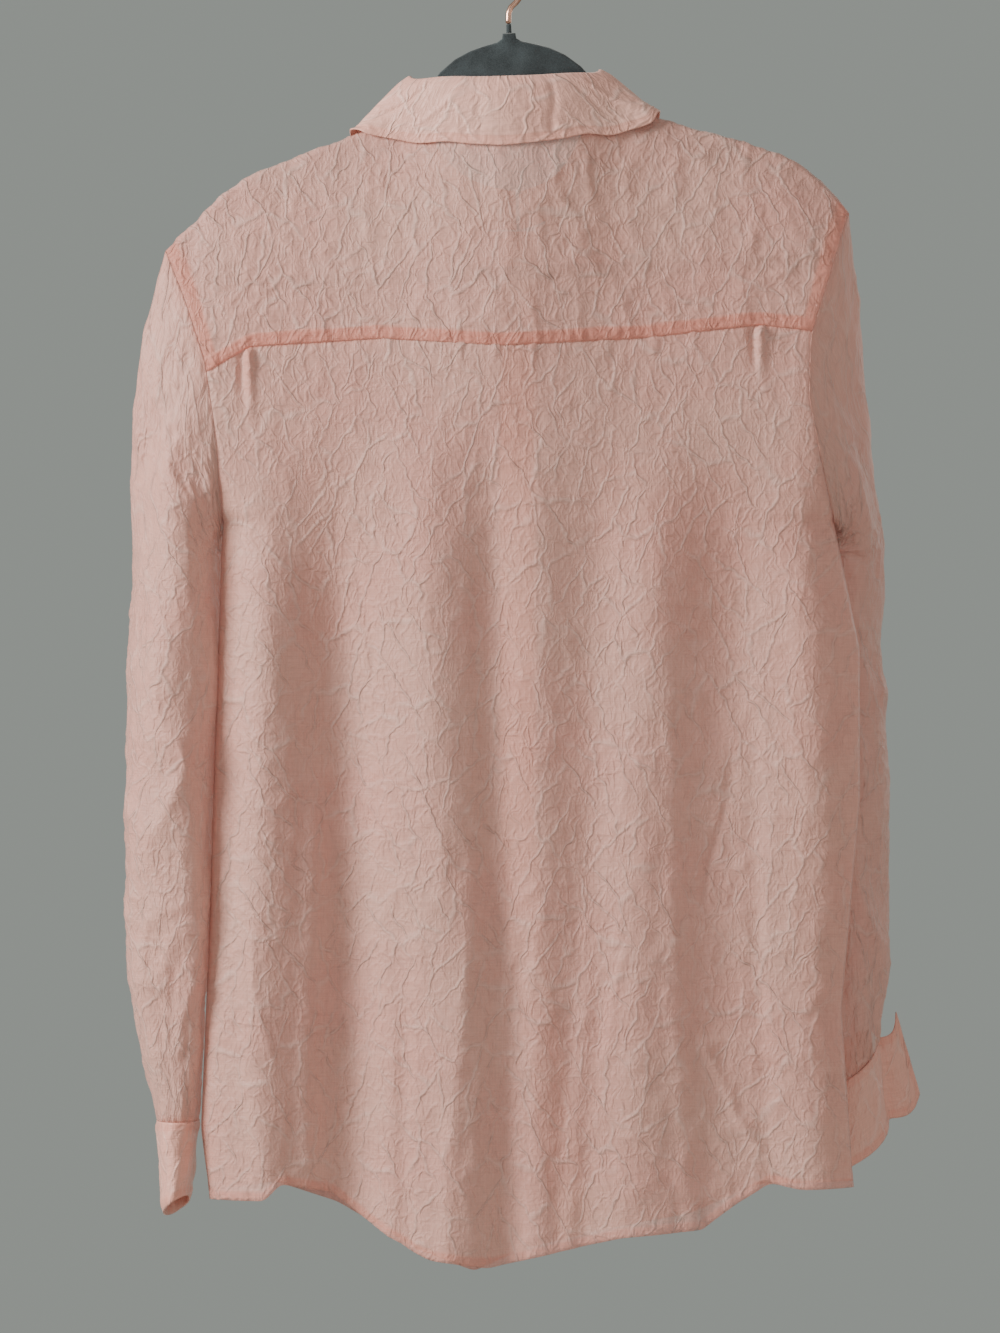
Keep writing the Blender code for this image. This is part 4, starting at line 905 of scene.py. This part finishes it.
def clear_of_form(points):
    """Moves points of the leaf out until they lie clear of the panels and of the crest."""
    points = points.copy()
    x, y, z = points[..., 0], points[..., 1], points[..., 2]
    aside = np.abs(x) >= NECK_HALF
    depth = crest(x) - z
    lift = LEAF_LIFT * (1.0 + np.exp(-np.maximum(depth, 0.0) / 15.0))
    above = CREST_RADIUS - depth
    scale = np.maximum((CREST_RADIUS + lift) / np.maximum(np.hypot(y, above), 0.01), 1.0)
    near = aside & (above > 0.0)
    far = aside & (above <= 0.0)
    out = form_y(x, depth, y > 0) + lift
    pushed_y = np.where(near, y * scale, np.where(far, np.copysign(np.maximum(np.abs(y), out), y), y))
    pushed_z = np.where(near, crest(x) - CREST_RADIUS + above * scale, z)
    share = smooth((np.abs(x) - NECK_HALF) / 9.0)
    points[..., 1] += (pushed_y - y) * share
    points[..., 2] += (pushed_z - z) * share
    return points


class BLOUSE_OT_collar(bpy.types.Operator):
    """Make the collar: the stand round the neck and the leaf that is turned down over it"""
    bl_idname = "blouse.collar"
    bl_label = "Collar"

    def execute(self, context):
        sizes = context.scene.blouse_sizes
        columns = 330
        station = np.linspace(0.0, 4.0, columns)
        loop = neck_rows()
        x, w = read(loop, station, 0, 1, 0.06), read(loop, station, 0, 2, 0.06)
        seat = on_form(x, w)
        inward = np.stack((-seat[:, 0], 6.0 - seat[:, 1], 0.0 * x), axis=1)
        inward /= np.linalg.norm(inward, axis=1, keepdims=True)
        inward = eased(inward, 30)
        up = np.array([0.0, 0.0, 1.0])
        behind = BACK_RISE * (w < 0)
        rise = STAND_HEIGHT + behind - (11.0 + behind) * np.exp(-(w / 26.0) ** 2) - 0.08 * x
        over_front = smooth(np.maximum(w, 0.0) / 90.0)
        bottom = eased(seat + inward * 0.8 + up * (0.4 + 0.6 * over_front)[:, None], 12)
        top = eased(seat + inward * 3.0 + up * rise[:, None], 220)
        part = np.linspace(0.0, 1.0, 14)[:, None, None]
        points = bottom[None] + part * (top - bottom)[None]
        length = np.concatenate(([0.0], np.cumsum(np.linalg.norm(np.diff(bottom, axis=0), axis=1))))
        wave = 0.4 * drift(length[None, :] + 0 * part[..., 0], part[..., 0] * 25, 14.0, 61)
        stand = make_cloth("collar_stand", raised(points, wave), flat_places(length[None, :], part[..., 0] * 26), 0.1,
                           "silk_double", sizes.double_wall)

        rows = 46
        down = np.linspace(0.0, 1.0, rows)
        steps = ((0.0, 0.8, 2.6), (0.12, 4.0, 1.6), (0.4, 4.2, 0.0), (0.72, 2.0, 0.0), (1.0, 0.0, 0.0))
        out, lift = read(steps, down, 0, 1, 0.06), read(steps, down, 0, 2, 0.06)
        out[0], lift[0] = 0.6, 1.9
        edge_x, edge_w = read(LEAF_EDGE, station, 0, 1, 0.05), read(LEAF_EDGE, station, 0, 2, 0.05)
        rim = eased(on_form(edge_x, edge_w, np.full(columns, LEAF_LIFT)), 8)
        outward = -inward
        fold = top + outward * 1.9
        points = fold[None] + down[:, None, None] * (rim - fold)[None] + outward[None] * out[:, None, None]
        points = points + up * lift[:, None, None]
        points = eased(clear_of_form(points), 6, axis=1)
        width = np.linalg.norm(rim - fold, axis=1)[None, :]
        from_rim = (1.0 - down)[:, None] * width
        s = length[None, :] + 0 * from_rim
        middle = length[columns // 2]
        free = smooth(from_rim / 5.0) * smooth(down[:, None] * 6.0)
        rise = 0.55 * drift(s, from_rim, 26.0, 71) * free + 0.4 * sizes.crinkle * crinkle(s, from_rim, 72, 1.2) * free
        rise += puckers(s, from_rim - LEAF_STITCH, 7.5, 4.0, 0.42, 73) * smooth(from_rim / 1.2)
        rise -= 0.38 * bell(from_rim - LEAF_STITCH, 0.9)
        for where, low, lean, height, spread in LEAF_CREASES:
            across = (s - middle - where) - lean * (from_rim - 22) + 1.5 * np.sin(from_rim / 7.0)
            rise += height * bell(across, spread) * smooth((from_rim - low + 6) / 10) * smooth(down[:, None] * 5)
        seam = np.clip(0.32 * smooth((LEAF_STITCH - from_rim) / 0.8), 0, 1)
        shaped = raised(points, rise)
        leaf = make_cloth("collar_leaf", shaped, flat_places(s, from_rim), seam, "silk_double", sizes.double_wall)
        columns_at = np.linspace(2, columns - 3, 1400)
        rows_at = (1.0 - LEAF_STITCH / np.interp(columns_at, np.arange(columns), width[0])) * (rows - 1)
        line = walk(shaped, np.clip(rows_at, 0, rows - 1), columns_at)
        sewn = make_stitches("collar_stitches", [line], 3.0, 2.3, 0.4)
        return {"FINISHED"}


# --- Sleeves and cuffs ---

def armhole(side, count):
    """The armhole seam from the inner side: down the back at a quarter turn more, as on the rings."""
    tip = float(read(SIDE_EDGE[side], -200.0 if side < 0 else -178.0))
    tip_z = -200.0
    for _ in range(12):
        tip_z = float(crest(np.array(tip)))
        tip = float(edge(side, tip_z))
    share = np.linspace(0.0, 1.0, 260) ** 1.4
    z = tip_z + share * (UNDERARM_Z - tip_z)
    x = edge(side, z)
    back = np.stack((x, body_y(x, z, False), z), axis=1)
    front = np.stack((x, body_y(x, z, True), z), axis=1)[::-1]
    loop = np.concatenate((back, front[1:-1], back[:1]))
    along = np.concatenate(([0.0], np.cumsum(np.linalg.norm(np.diff(loop, axis=0), axis=1))))
    at = np.linspace(0.0, 1.0, count) % 1.0
    return np.stack([np.interp(at * along[-1], along, loop[:, axis]) for axis in range(3)], axis=1)


def ring_points(rows, z, share, fold):
    """Points of the rings of a sleeve or a cuff: share 0 is the outer side, 0.25 the back."""
    x_out, x_in, y_back, y_front, tilt = (read(rows, z, 0, value, 14.0) for value in range(1, 6))
    turn = 2.0 * math.pi * share
    cos = np.copysign(np.abs(np.cos(turn)) ** SIDE_SHAPE, np.cos(turn))
    sin = np.copysign(np.abs(np.sin(turn)) ** SIDE_SHAPE, np.sin(turn))
    x = (x_out + x_in) / 2 + (x_out - x_in) / 2 * cos * (1.0 + fold)
    y = (y_back + y_front) / 2 - (y_front - y_back) / 2 * sin * (1.0 + fold)
    return np.stack(np.broadcast_arrays(x, y, z + tilt / 2 * (cos - sin) / 1.4), axis=-1)


def sleeve_fold(share, z, side):
    grown = smooth((-300.0 - z) / 160.0) * smooth((z + 790.0) / 120.0)
    return 0.06 * grown * np.sin(2 * math.pi * (3 * share + 0.1 * side) + z / 140.0)


class BLOUSE_OT_sleeves(bpy.types.Operator):
    """Make the two sleeves, from the armholes to the gathers above the cuffs"""
    bl_idname = "blouse.sleeves"
    bl_label = "Sleeves"

    def execute(self, context):
        sizes = context.scene.blouse_sizes
        for side, name, twist in ((-1, "left", 0.0), (1, "right", -0.22)):
            columns = 137
            rings = SLEEVE_RINGS[side]
            start = np.linspace(0.0, 1.0, columns)
            loop = armhole(side, columns)
            loop[:, 0] += side * 0.35
            before = bell(start - 0.75, 0.13)
            share = start + twist
            first_z = float(rings[0][0])
            below = ring_points(rings, np.full(columns, first_z), share, sleeve_fold(share, first_z, side))
            part = np.linspace(0.0, 1.0, 78)[:-1, None, None]
            cap = (loop + np.array([0.0, 1.2, 0.0]) * before[:, None])[None] * (1 - part) + below[None] * part
            swell = np.sin(math.pi * part[..., 0])
            aside = (1.0 - before) if side > 0 else np.maximum(0.5 + 0.5 * np.cos(2 * math.pi * start), 0.25)
            cap[..., 0] += side * 9.0 * swell * aside[None]
            cap[..., 1] += 5.0 * swell * before[None]
            last_z = float(rings[-1][0])
            z = np.linspace(first_z, last_z, 152)[:, None]
            tube = ring_points(rings, z, share[None, :], sleeve_fold(share[None, :], z, side))
            points = eased(np.concatenate((cap, tube)), 30)
            rows = points.shape[0]
            around = np.linalg.norm(np.diff(points[rows // 2], axis=0), axis=1)
            s = np.concatenate(([0.0], np.cumsum(around)))[None, :] + np.zeros((rows, 1))
            girth = s[0, -1]
            lengths = np.linalg.norm(np.diff(points[:, columns // 4], axis=0), axis=1)
            t = -np.concatenate(([0.0], np.cumsum(lengths)))[:, None] + np.zeros((1, columns))
            long = -t[-1, 0]
            blend = smooth((start[None, :] - 0.8) / 0.2)

            def wrapped(height_at):
                return height_at(s) * (1 - blend) + height_at(s - girth) * blend

            seed = 80 + side
            free = smooth(-t / 7.0) * smooth((t + long) / 4.0)
            rise = sizes.crinkle * 1.35 * wrapped(lambda at: crinkle(at, t, seed, 0.92)) * free
            rise += 3.2 * wrapped(lambda at: drift(at + 0.16 * t, t * 0.22, 21.0, seed + 2)) * smooth(-t / 90) \
                * smooth((t + long) / 30)
            rise += 2.2 * wrapped(lambda at: 1 - np.abs(drift(at - 0.3 * t, t * 0.5, 26.0, seed + 4)) * 2) \
                * smooth(-t / 60) * smooth((t + long) / 40)
            gathers = 0.5 + 0.5 * np.sin(2 * math.pi * 22 * start[None, :] + 0.6 * np.sin(t / 9))
            rise += 0.6 * gathers * np.exp(-(t + long) / 14.0)
            cap_gathers = np.sin(2 * math.pi * 44 * start[None, :])
            rise += 0.35 * cap_gathers * np.exp(t / 7.0)
            seam = 0.35 * np.exp(t / 4.0) + 0.2 * np.exp(-(t + long) / 6.0)
            made = make_cloth(f"sleeve_{name}", raised(points, rise, side, True), flat_places(s, t + 900), seam,
                              "silk", sizes.wall, outward=side, closed=True)
        return {"FINISHED"}


class BLOUSE_OT_cuffs(bpy.types.Operator):
    """Make the closed left cuff and the open right cuff, whose buttonhole end stands off"""
    bl_idname = "blouse.cuffs"
    bl_label = "Cuffs"

    def execute(self, context):
        sizes = context.scene.blouse_sizes
        rings = CUFF_RINGS[-1]
        columns, rows = 121, 34
        share = np.linspace(0.0, 1.0, columns)[None, :]
        z = np.linspace(rings[0][0] + 0.4, rings[-1][0], rows)[:, None]
        points = ring_points(rings, z, share, 0.03)
        self.finish_cuff("cuff_left", points, sizes, -1, True)
        rings = CUFF_RINGS[1]
        start, around, flap = 0.90, 19.0, 4.0
        z = np.linspace(rings[0][0] + 0.4, rings[-1][0], rows)[:, None]
        place = np.linspace(0.0, around + flap, columns)[None, :]
        turn = start - 0.92 * np.minimum(place, around) / around
        points = ring_points(rings, z, turn, 0.03)
        end = ring_points(rings, z, np.full((1, 1), start - 0.92), 0.03)
        row = np.linspace(0.0, 1.0, rows)[:, None, None]
        free = np.array(CUFF_FLAP[0]) * (1 - row) + np.array(CUFF_FLAP[1]) * row
        part = np.clip((place - around) / flap, 0.0, 1.0)[..., None]
        bow = np.array([4.0, -1.0, -5.0]) * np.sin(math.pi * part)
        points = np.where(part > 0, end * (1 - part) + free * part + bow, points)
        points = eased(points, 4, axis=1)
        self.finish_cuff("cuff_right", points, sizes, -1, False)
        return {"FINISHED"}

    def finish_cuff(self, name, points, sizes, outward, closed):
        rows, columns = points.shape[:2]
        steps = np.linalg.norm(np.diff(points[rows // 2], axis=0), axis=1)
        s = np.concatenate(([0.0], np.cumsum(steps)))[None, :] + np.zeros((rows, 1))
        drops = np.linalg.norm(np.diff(points[:, columns // 3], axis=0), axis=1)
        t = np.concatenate(([0.0], np.cumsum(drops)))[:, None] + np.zeros((1, columns))
        deep = t[-1, 0]
        rim = np.minimum(t, deep - t)
        if not closed:
            rim = np.minimum(rim, np.minimum(s, s[0, -1] - s))
        blend = smooth((s / s[0, -1] - 0.8) / 0.2) if closed else np.zeros(s.shape)
        girth = s[0, -1]

        def wrapped(height_at):
            return height_at(s) * (1 - blend) + height_at(s - girth) * blend

        rise = wrapped(lambda at: 1.3 * drift(at, t, 15.0, 91) + 0.7 * crinkle(at, t, 92)) * smooth(rim / 4.0)
        waves = round(girth / 7.5)
        rise += 0.4 * np.sin(2 * math.pi * waves * s / girth + 0.3 * t) * np.exp(-np.abs(rim - CUFF_STITCH) / 4.0)
        seam = 0.3 * smooth((6.0 - rim) / 0.8) + 0.12
        shaped = raised(points, rise, outward, closed)
        made = make_cloth(name, shaped, flat_places(s + 300, t), seam, "silk_double", sizes.double_wall,
                          outward=outward, closed=closed)
        inset = CUFF_STITCH * (rows - 1) / deep
        ends = 1 if closed else CUFF_STITCH * (columns - 1) / girth
        run = np.linspace(ends, columns - 1 - ends, 400)
        lines = [walk(shaped, np.full(400, at), run) for at in (inset, rows - 1 - inset)]
        if not closed:
            fall = np.linspace(inset, rows - 1 - inset, 120)
            lines += [walk(shaped, fall, np.full(120, at)) for at in (ends, columns - 1 - ends)]
        lines = [(points_at, out * outward) for points_at, out in lines]
        sewn = make_stitches(f"{name}_stitches", lines)


# --- Buttons, hanger and hook ---

BUTTON_PROFILE = ((0.0, 0.75), (1.9, 0.72), (2.9, 0.62), (3.5, 0.7), (3.9, 1.02), (4.4, 1.12), (4.85, 0.85),
                  (5.0, 0.3), (4.9, -0.55), (4.3, -1.05), (0.0, -1.1))


def cad_vertices(name):
    """Places of a solid's vertices, in millimetres."""
    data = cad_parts[name].data
    places = np.empty(len(data.vertices) * 3, dtype=np.float32)
    data.vertices.foreach_get("co", places)
    return places.reshape(-1, 3).astype(float) / MM


class BLOUSE_OT_buttons(bpy.types.Operator):
    """Turn each button where its solid is, with a raised rim, four holes and its thread"""
    bl_idname = "blouse.buttons"
    bl_label = "Buttons"

    def execute(self, context):
        shell = shell_material()
        names = [f"button_front_{number}" for number in range(1, 8)]
        names += [f"button_cuff_{side}_{number}" for side in ("left", "right") for number in (1, 2)]
        for name in names:
            places = cad_vertices(name)
            centre = (places.min(axis=0) + places.max(axis=0)) / 2
            spread = np.linalg.svd(places - places.mean(axis=0), full_matrices=False)[2]
            axis = Vector(spread[2])
            away = Vector((0.0, 1.0, 0.0))
            if "cuff" in name:
                body = cad_vertices("cuff_left" if "left" in name else "cuff_right")
                away = Vector(centre - (body.min(axis=0) + body.max(axis=0)) / 2)
            if axis.dot(away) < 0:
                axis = -axis
            turn = Matrix.Translation(Vector(centre) * MM) @ axis.to_track_quat("Z", "Y").to_matrix().to_4x4()
            self.make_button(name, turn, shell)
        return {"FINISHED"}

    def make_button(self, name, turn, shell):
        turned = bmesh.new()
        corners = [turned.verts.new((radius * MM, 0.0, height * MM)) for radius, height in BUTTON_PROFILE]
        lines = [turned.edges.new(pair) for pair in zip(corners, corners[1:])]
        bmesh.ops.spin(turned, geom=corners + lines, cent=(0, 0, 0), axis=(0, 0, 1), dvec=(0, 0, 0),
                       angle=2 * math.pi, steps=32, use_merge=True, use_duplicate=False)
        bmesh.ops.remove_doubles(turned, verts=turned.verts, dist=0.00001)
        bmesh.ops.recalc_face_normals(turned, faces=turned.faces)
        shell_faces = len(turned.faces)
        for x, y in ((-1.05, -1.05), (1.05, -1.05), (1.05, 1.05), (-1.05, 1.05)):
            bmesh.ops.create_cone(turned, cap_ends=True, segments=12, radius1=0.55 * MM, radius2=0.55 * MM,
                                  depth=0.16 * MM, matrix=Matrix.Translation((x * MM, y * MM, 0.72 * MM)))
        for x in (-1.05, 1.05):
            for shift in (-0.14, 0.14):
                lie = Matrix.Translation(((x + shift) * MM, 0.0, 0.88 * MM)) @ Matrix.Rotation(math.pi / 2, 4, "X")
                bmesh.ops.create_cone(turned, cap_ends=True, segments=8, radius1=0.17 * MM, radius2=0.17 * MM,
                                      depth=2.5 * MM, matrix=lie)
        bmesh.ops.transform(turned, verts=turned.verts, matrix=turn)
        turned.faces.ensure_lookup_table()
        for index, face in enumerate(turned.faces):
            face.smooth = True
            face.material_index = 0 if index < shell_faces else 1
        data = bpy.data.meshes.new(f"{name}_turned")
        turned.to_mesh(data)
        turned.free()
        data.set_sharp_from_angle(angle=math.radians(50))
        made = add_object(f"{name}_turned", data, shell, thread_material())
        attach(made, "root")
        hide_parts(name)


class BLOUSE_OT_hanger(bpy.types.Operator):
    """Finish the hanger, its neck and its wire hook from merged copies of their solids"""
    bl_idname = "blouse.hanger"
    bl_label = "Hanger and hook"

    def execute(self, context):
        flock, copper = flock_material(), copper_material()
        for name, slot, surface, angle in (("hanger_body", "flock", flock, 50), ("hook", "copper_plate", copper, 50),
                                           ("hook_ferrule", "flock", flock, 40)):
            copied = bmesh.new()
            copied.from_mesh(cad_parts[name].data)
            bmesh.ops.remove_doubles(copied, verts=copied.verts, dist=0.000001)
            for face in copied.faces:
                face.smooth = True
            data = bpy.data.meshes.new(f"{name}_finish")
            copied.to_mesh(data)
            copied.free()
            data.set_sharp_from_angle(angle=math.radians(angle))
            data.materials.clear()
            made = add_object(f"{name}_finish", data, surface)
            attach(made, "root")
            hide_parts(name)
        return {"FINISHED"}


# --- Stage ---

class BLOUSE_OT_stage(bpy.types.Operator):
    """Set the floor, the grey surround, the lights and the camera"""
    bl_idname = "blouse.stage"
    bl_label = "Stage"

    def execute(self, context):
        scene = context.scene
        stage = scene.blouse_stage
        floor = bmesh.new()
        bmesh.ops.create_grid(floor, x_segments=1, y_segments=1, size=3.0)
        bmesh.ops.translate(floor, verts=floor.verts, vec=(0.0, 0.0, -1.75))
        data = bpy.data.meshes.new("floor")
        floor.to_mesh(data)
        floor.free()
        surface, _, shader = new_material("painted_floor")
        set_inputs(shader, Base_Color=(*linear("B9BBB6"), 1.0), Roughness=0.8)
        add_object("floor", data, surface)

        scene.world = scene.world or bpy.data.worlds.new("studio")
        scene.world.use_nodes = True
        sky = scene.world.node_tree.nodes["Background"]
        sky.inputs["Color"].default_value = (*stage.surround, 1.0)
        sky.inputs["Strength"].default_value = stage.surround_strength

        middle = Vector((-3.25, -20.0, -475.1)) * MM
        for name, place, width, power, colour in (
                ("key", (-2.0, -0.85, 0.9), 0.8, stage.key_power, (1.0, 0.97, 0.93)),
                ("front", (0.5, -2.6, 0.9), 1.6, stage.front_power, (0.97, 0.98, 1.0)),
                ("fill", (2.0, -1.1, -0.1), 1.2, stage.fill_power, (1.0, 0.82, 0.74)),
                ("rim", (1.3, 1.5, 0.6), 1.2, stage.front_power * 0.8, (1.0, 0.97, 0.94))):
            lamp = bpy.data.lights.new(name, "AREA")
            lamp.size = width
            lamp.energy = power
            lamp.color = colour
            held = bpy.data.objects.new(name, lamp)
            held.location = Vector(place) + middle
            held.rotation_euler = (-Vector(place)).to_track_quat("-Z", "Y").to_euler()
            scene.collection.objects.link(held)

        lens = bpy.data.cameras.new("view")
        lens.sensor_fit = "VERTICAL"
        lens.sensor_height = 24.0
        distance, seen = 5.0, 0.8665
        lens.lens = lens.sensor_height * distance / seen
        view = bpy.data.objects.new("view", lens)
        view.location = middle + Vector((0.0, -distance, 0.0))
        view.rotation_euler = (math.pi / 2, 0.0, 0.0)
        scene.collection.objects.link(view)
        scene.camera = view
        return {"FINISHED"}


# --- Settings, panel and registration ---

class BlouseSizes(bpy.types.PropertyGroup):
    wall: FloatProperty(name="Silk", description="Wall of one layer of silk", default=0.0005, min=0.0002,
                        unit="LENGTH", subtype="DISTANCE")
    double_wall: FloatProperty(name="Double silk", description="Wall of collar, cuffs and plackets", default=0.0009,
                               min=0.0003, unit="LENGTH", subtype="DISTANCE")
    crinkle: FloatProperty(name="Crinkle", description="Height of the crinkle, where 1 is about a millimetre",
                           default=1.15, min=0.0, max=3.0, subtype="FACTOR")


class BlouseFinish(bpy.types.PropertyGroup):
    silk: FloatVectorProperty(name="Silk", description="Dyed silk where one layer hangs", size=3, subtype="COLOR",
                              default=linear("F3B6A7"), min=0.0, max=1.0)
    pale_silk: FloatVectorProperty(name="Pale silk", description="Where the dye has taken less", size=3,
                                   subtype="COLOR", default=linear("F1C6B4"), min=0.0, max=1.0)
    # Colour of the pressed ridges: a painted highlight where they catch the light.
    ridge_highlight_silk: FloatVectorProperty(name="Worn ridges", description="Pressed ridges, polished by wear", size=3,
                                   subtype="COLOR", default=linear("FBDCCF"), min=0.0, max=1.0)
    double_silk: FloatVectorProperty(name="Double silk", description="Collar, cuffs and plackets", size=3,
                                     subtype="COLOR", default=linear("F5B5A4"), min=0.0, max=1.0)
    # This deeper colour marks seam allowances and hems, and also paints shade on the back where the placket lies
    # behind it and in the left pleat's fold.
    seam_and_shade_silk: FloatVectorProperty(name="Seams", description="Layers that show through at seams and hems", size=3,
                                   subtype="COLOR", default=linear("F29C88"), min=0.0, max=1.0)
    cover: FloatProperty(name="Cover", description="How much one face of the silk hides", default=0.56, min=0.3,
                         max=1.0, subtype="FACTOR")
    fine_crinkle: FloatProperty(name="Fine crinkle", description="Depth of the finest crinkle", default=0.7,
                                min=0.0, max=3.0, subtype="FACTOR")


class BlouseStage(bpy.types.PropertyGroup):
    surround: FloatVectorProperty(name="Surround", description="Grey-green paint all round", size=3,
                                  subtype="COLOR", default=linear("969B96"), min=0.0, max=1.0)
    surround_strength: FloatProperty(name="Strength", description="Brightness of the surround", default=0.92, min=0.0)
    key_power: FloatProperty(name="Key", description="Window light from the left", default=86.0, min=0.0,
                             unit="POWER")
    fill_power: FloatProperty(name="Fill", description="Light thrown back by the room on the right", default=6.0,
                              min=0.0, unit="POWER")
    front_power: FloatProperty(name="Front", description="Soft light from the front", default=9.0, min=0.0,
                               unit="POWER")


class BLOUSE_PT_panel(bpy.types.Panel):
    """Pieces of the blouse and their settings"""
    bl_idname = "BLOUSE_PT_panel"
    bl_label = "Crinkled Silk Blouse"
    bl_space_type = "VIEW_3D"
    bl_region_type = "UI"
    bl_category = "Blouse"

    def draw(self, context):
        for group in (context.scene.blouse_sizes, context.scene.blouse_finish, context.scene.blouse_stage):
            column = self.layout.column()
            for name in group.__annotations__:
                column.prop(group, name)
        for operator in OPERATORS:
            self.layout.operator(operator.bl_idname)


GROUPS = (("blouse_sizes", BlouseSizes), ("blouse_finish", BlouseFinish), ("blouse_stage", BlouseStage))
OPERATORS = (BLOUSE_OT_stage, BLOUSE_OT_back, BLOUSE_OT_yoke, BLOUSE_OT_fronts, BLOUSE_OT_plackets,
             BLOUSE_OT_collar, BLOUSE_OT_sleeves, BLOUSE_OT_cuffs, BLOUSE_OT_buttons, BLOUSE_OT_hanger)


def register():
    for name, group in GROUPS:
        bpy.utils.register_class(group)
        setattr(bpy.types.Scene, name, PointerProperty(type=group))
    for operator in OPERATORS:
        bpy.utils.register_class(operator)
    bpy.utils.register_class(BLOUSE_PT_panel)


def unregister():
    bpy.utils.unregister_class(BLOUSE_PT_panel)
    for operator in reversed(OPERATORS):
        bpy.utils.unregister_class(operator)
    for name, group in reversed(GROUPS):
        delattr(bpy.types.Scene, name)
        bpy.utils.unregister_class(group)


def main():
    register()
    bpy.ops.blouse.stage()
    bpy.ops.blouse.back()
    bpy.ops.blouse.yoke()
    bpy.ops.blouse.fronts()
    bpy.ops.blouse.plackets()
    bpy.ops.blouse.collar()
    bpy.ops.blouse.sleeves()
    bpy.ops.blouse.cuffs()
    bpy.ops.blouse.buttons()
    bpy.ops.blouse.hanger()


if __name__ == "__main__":
    main()
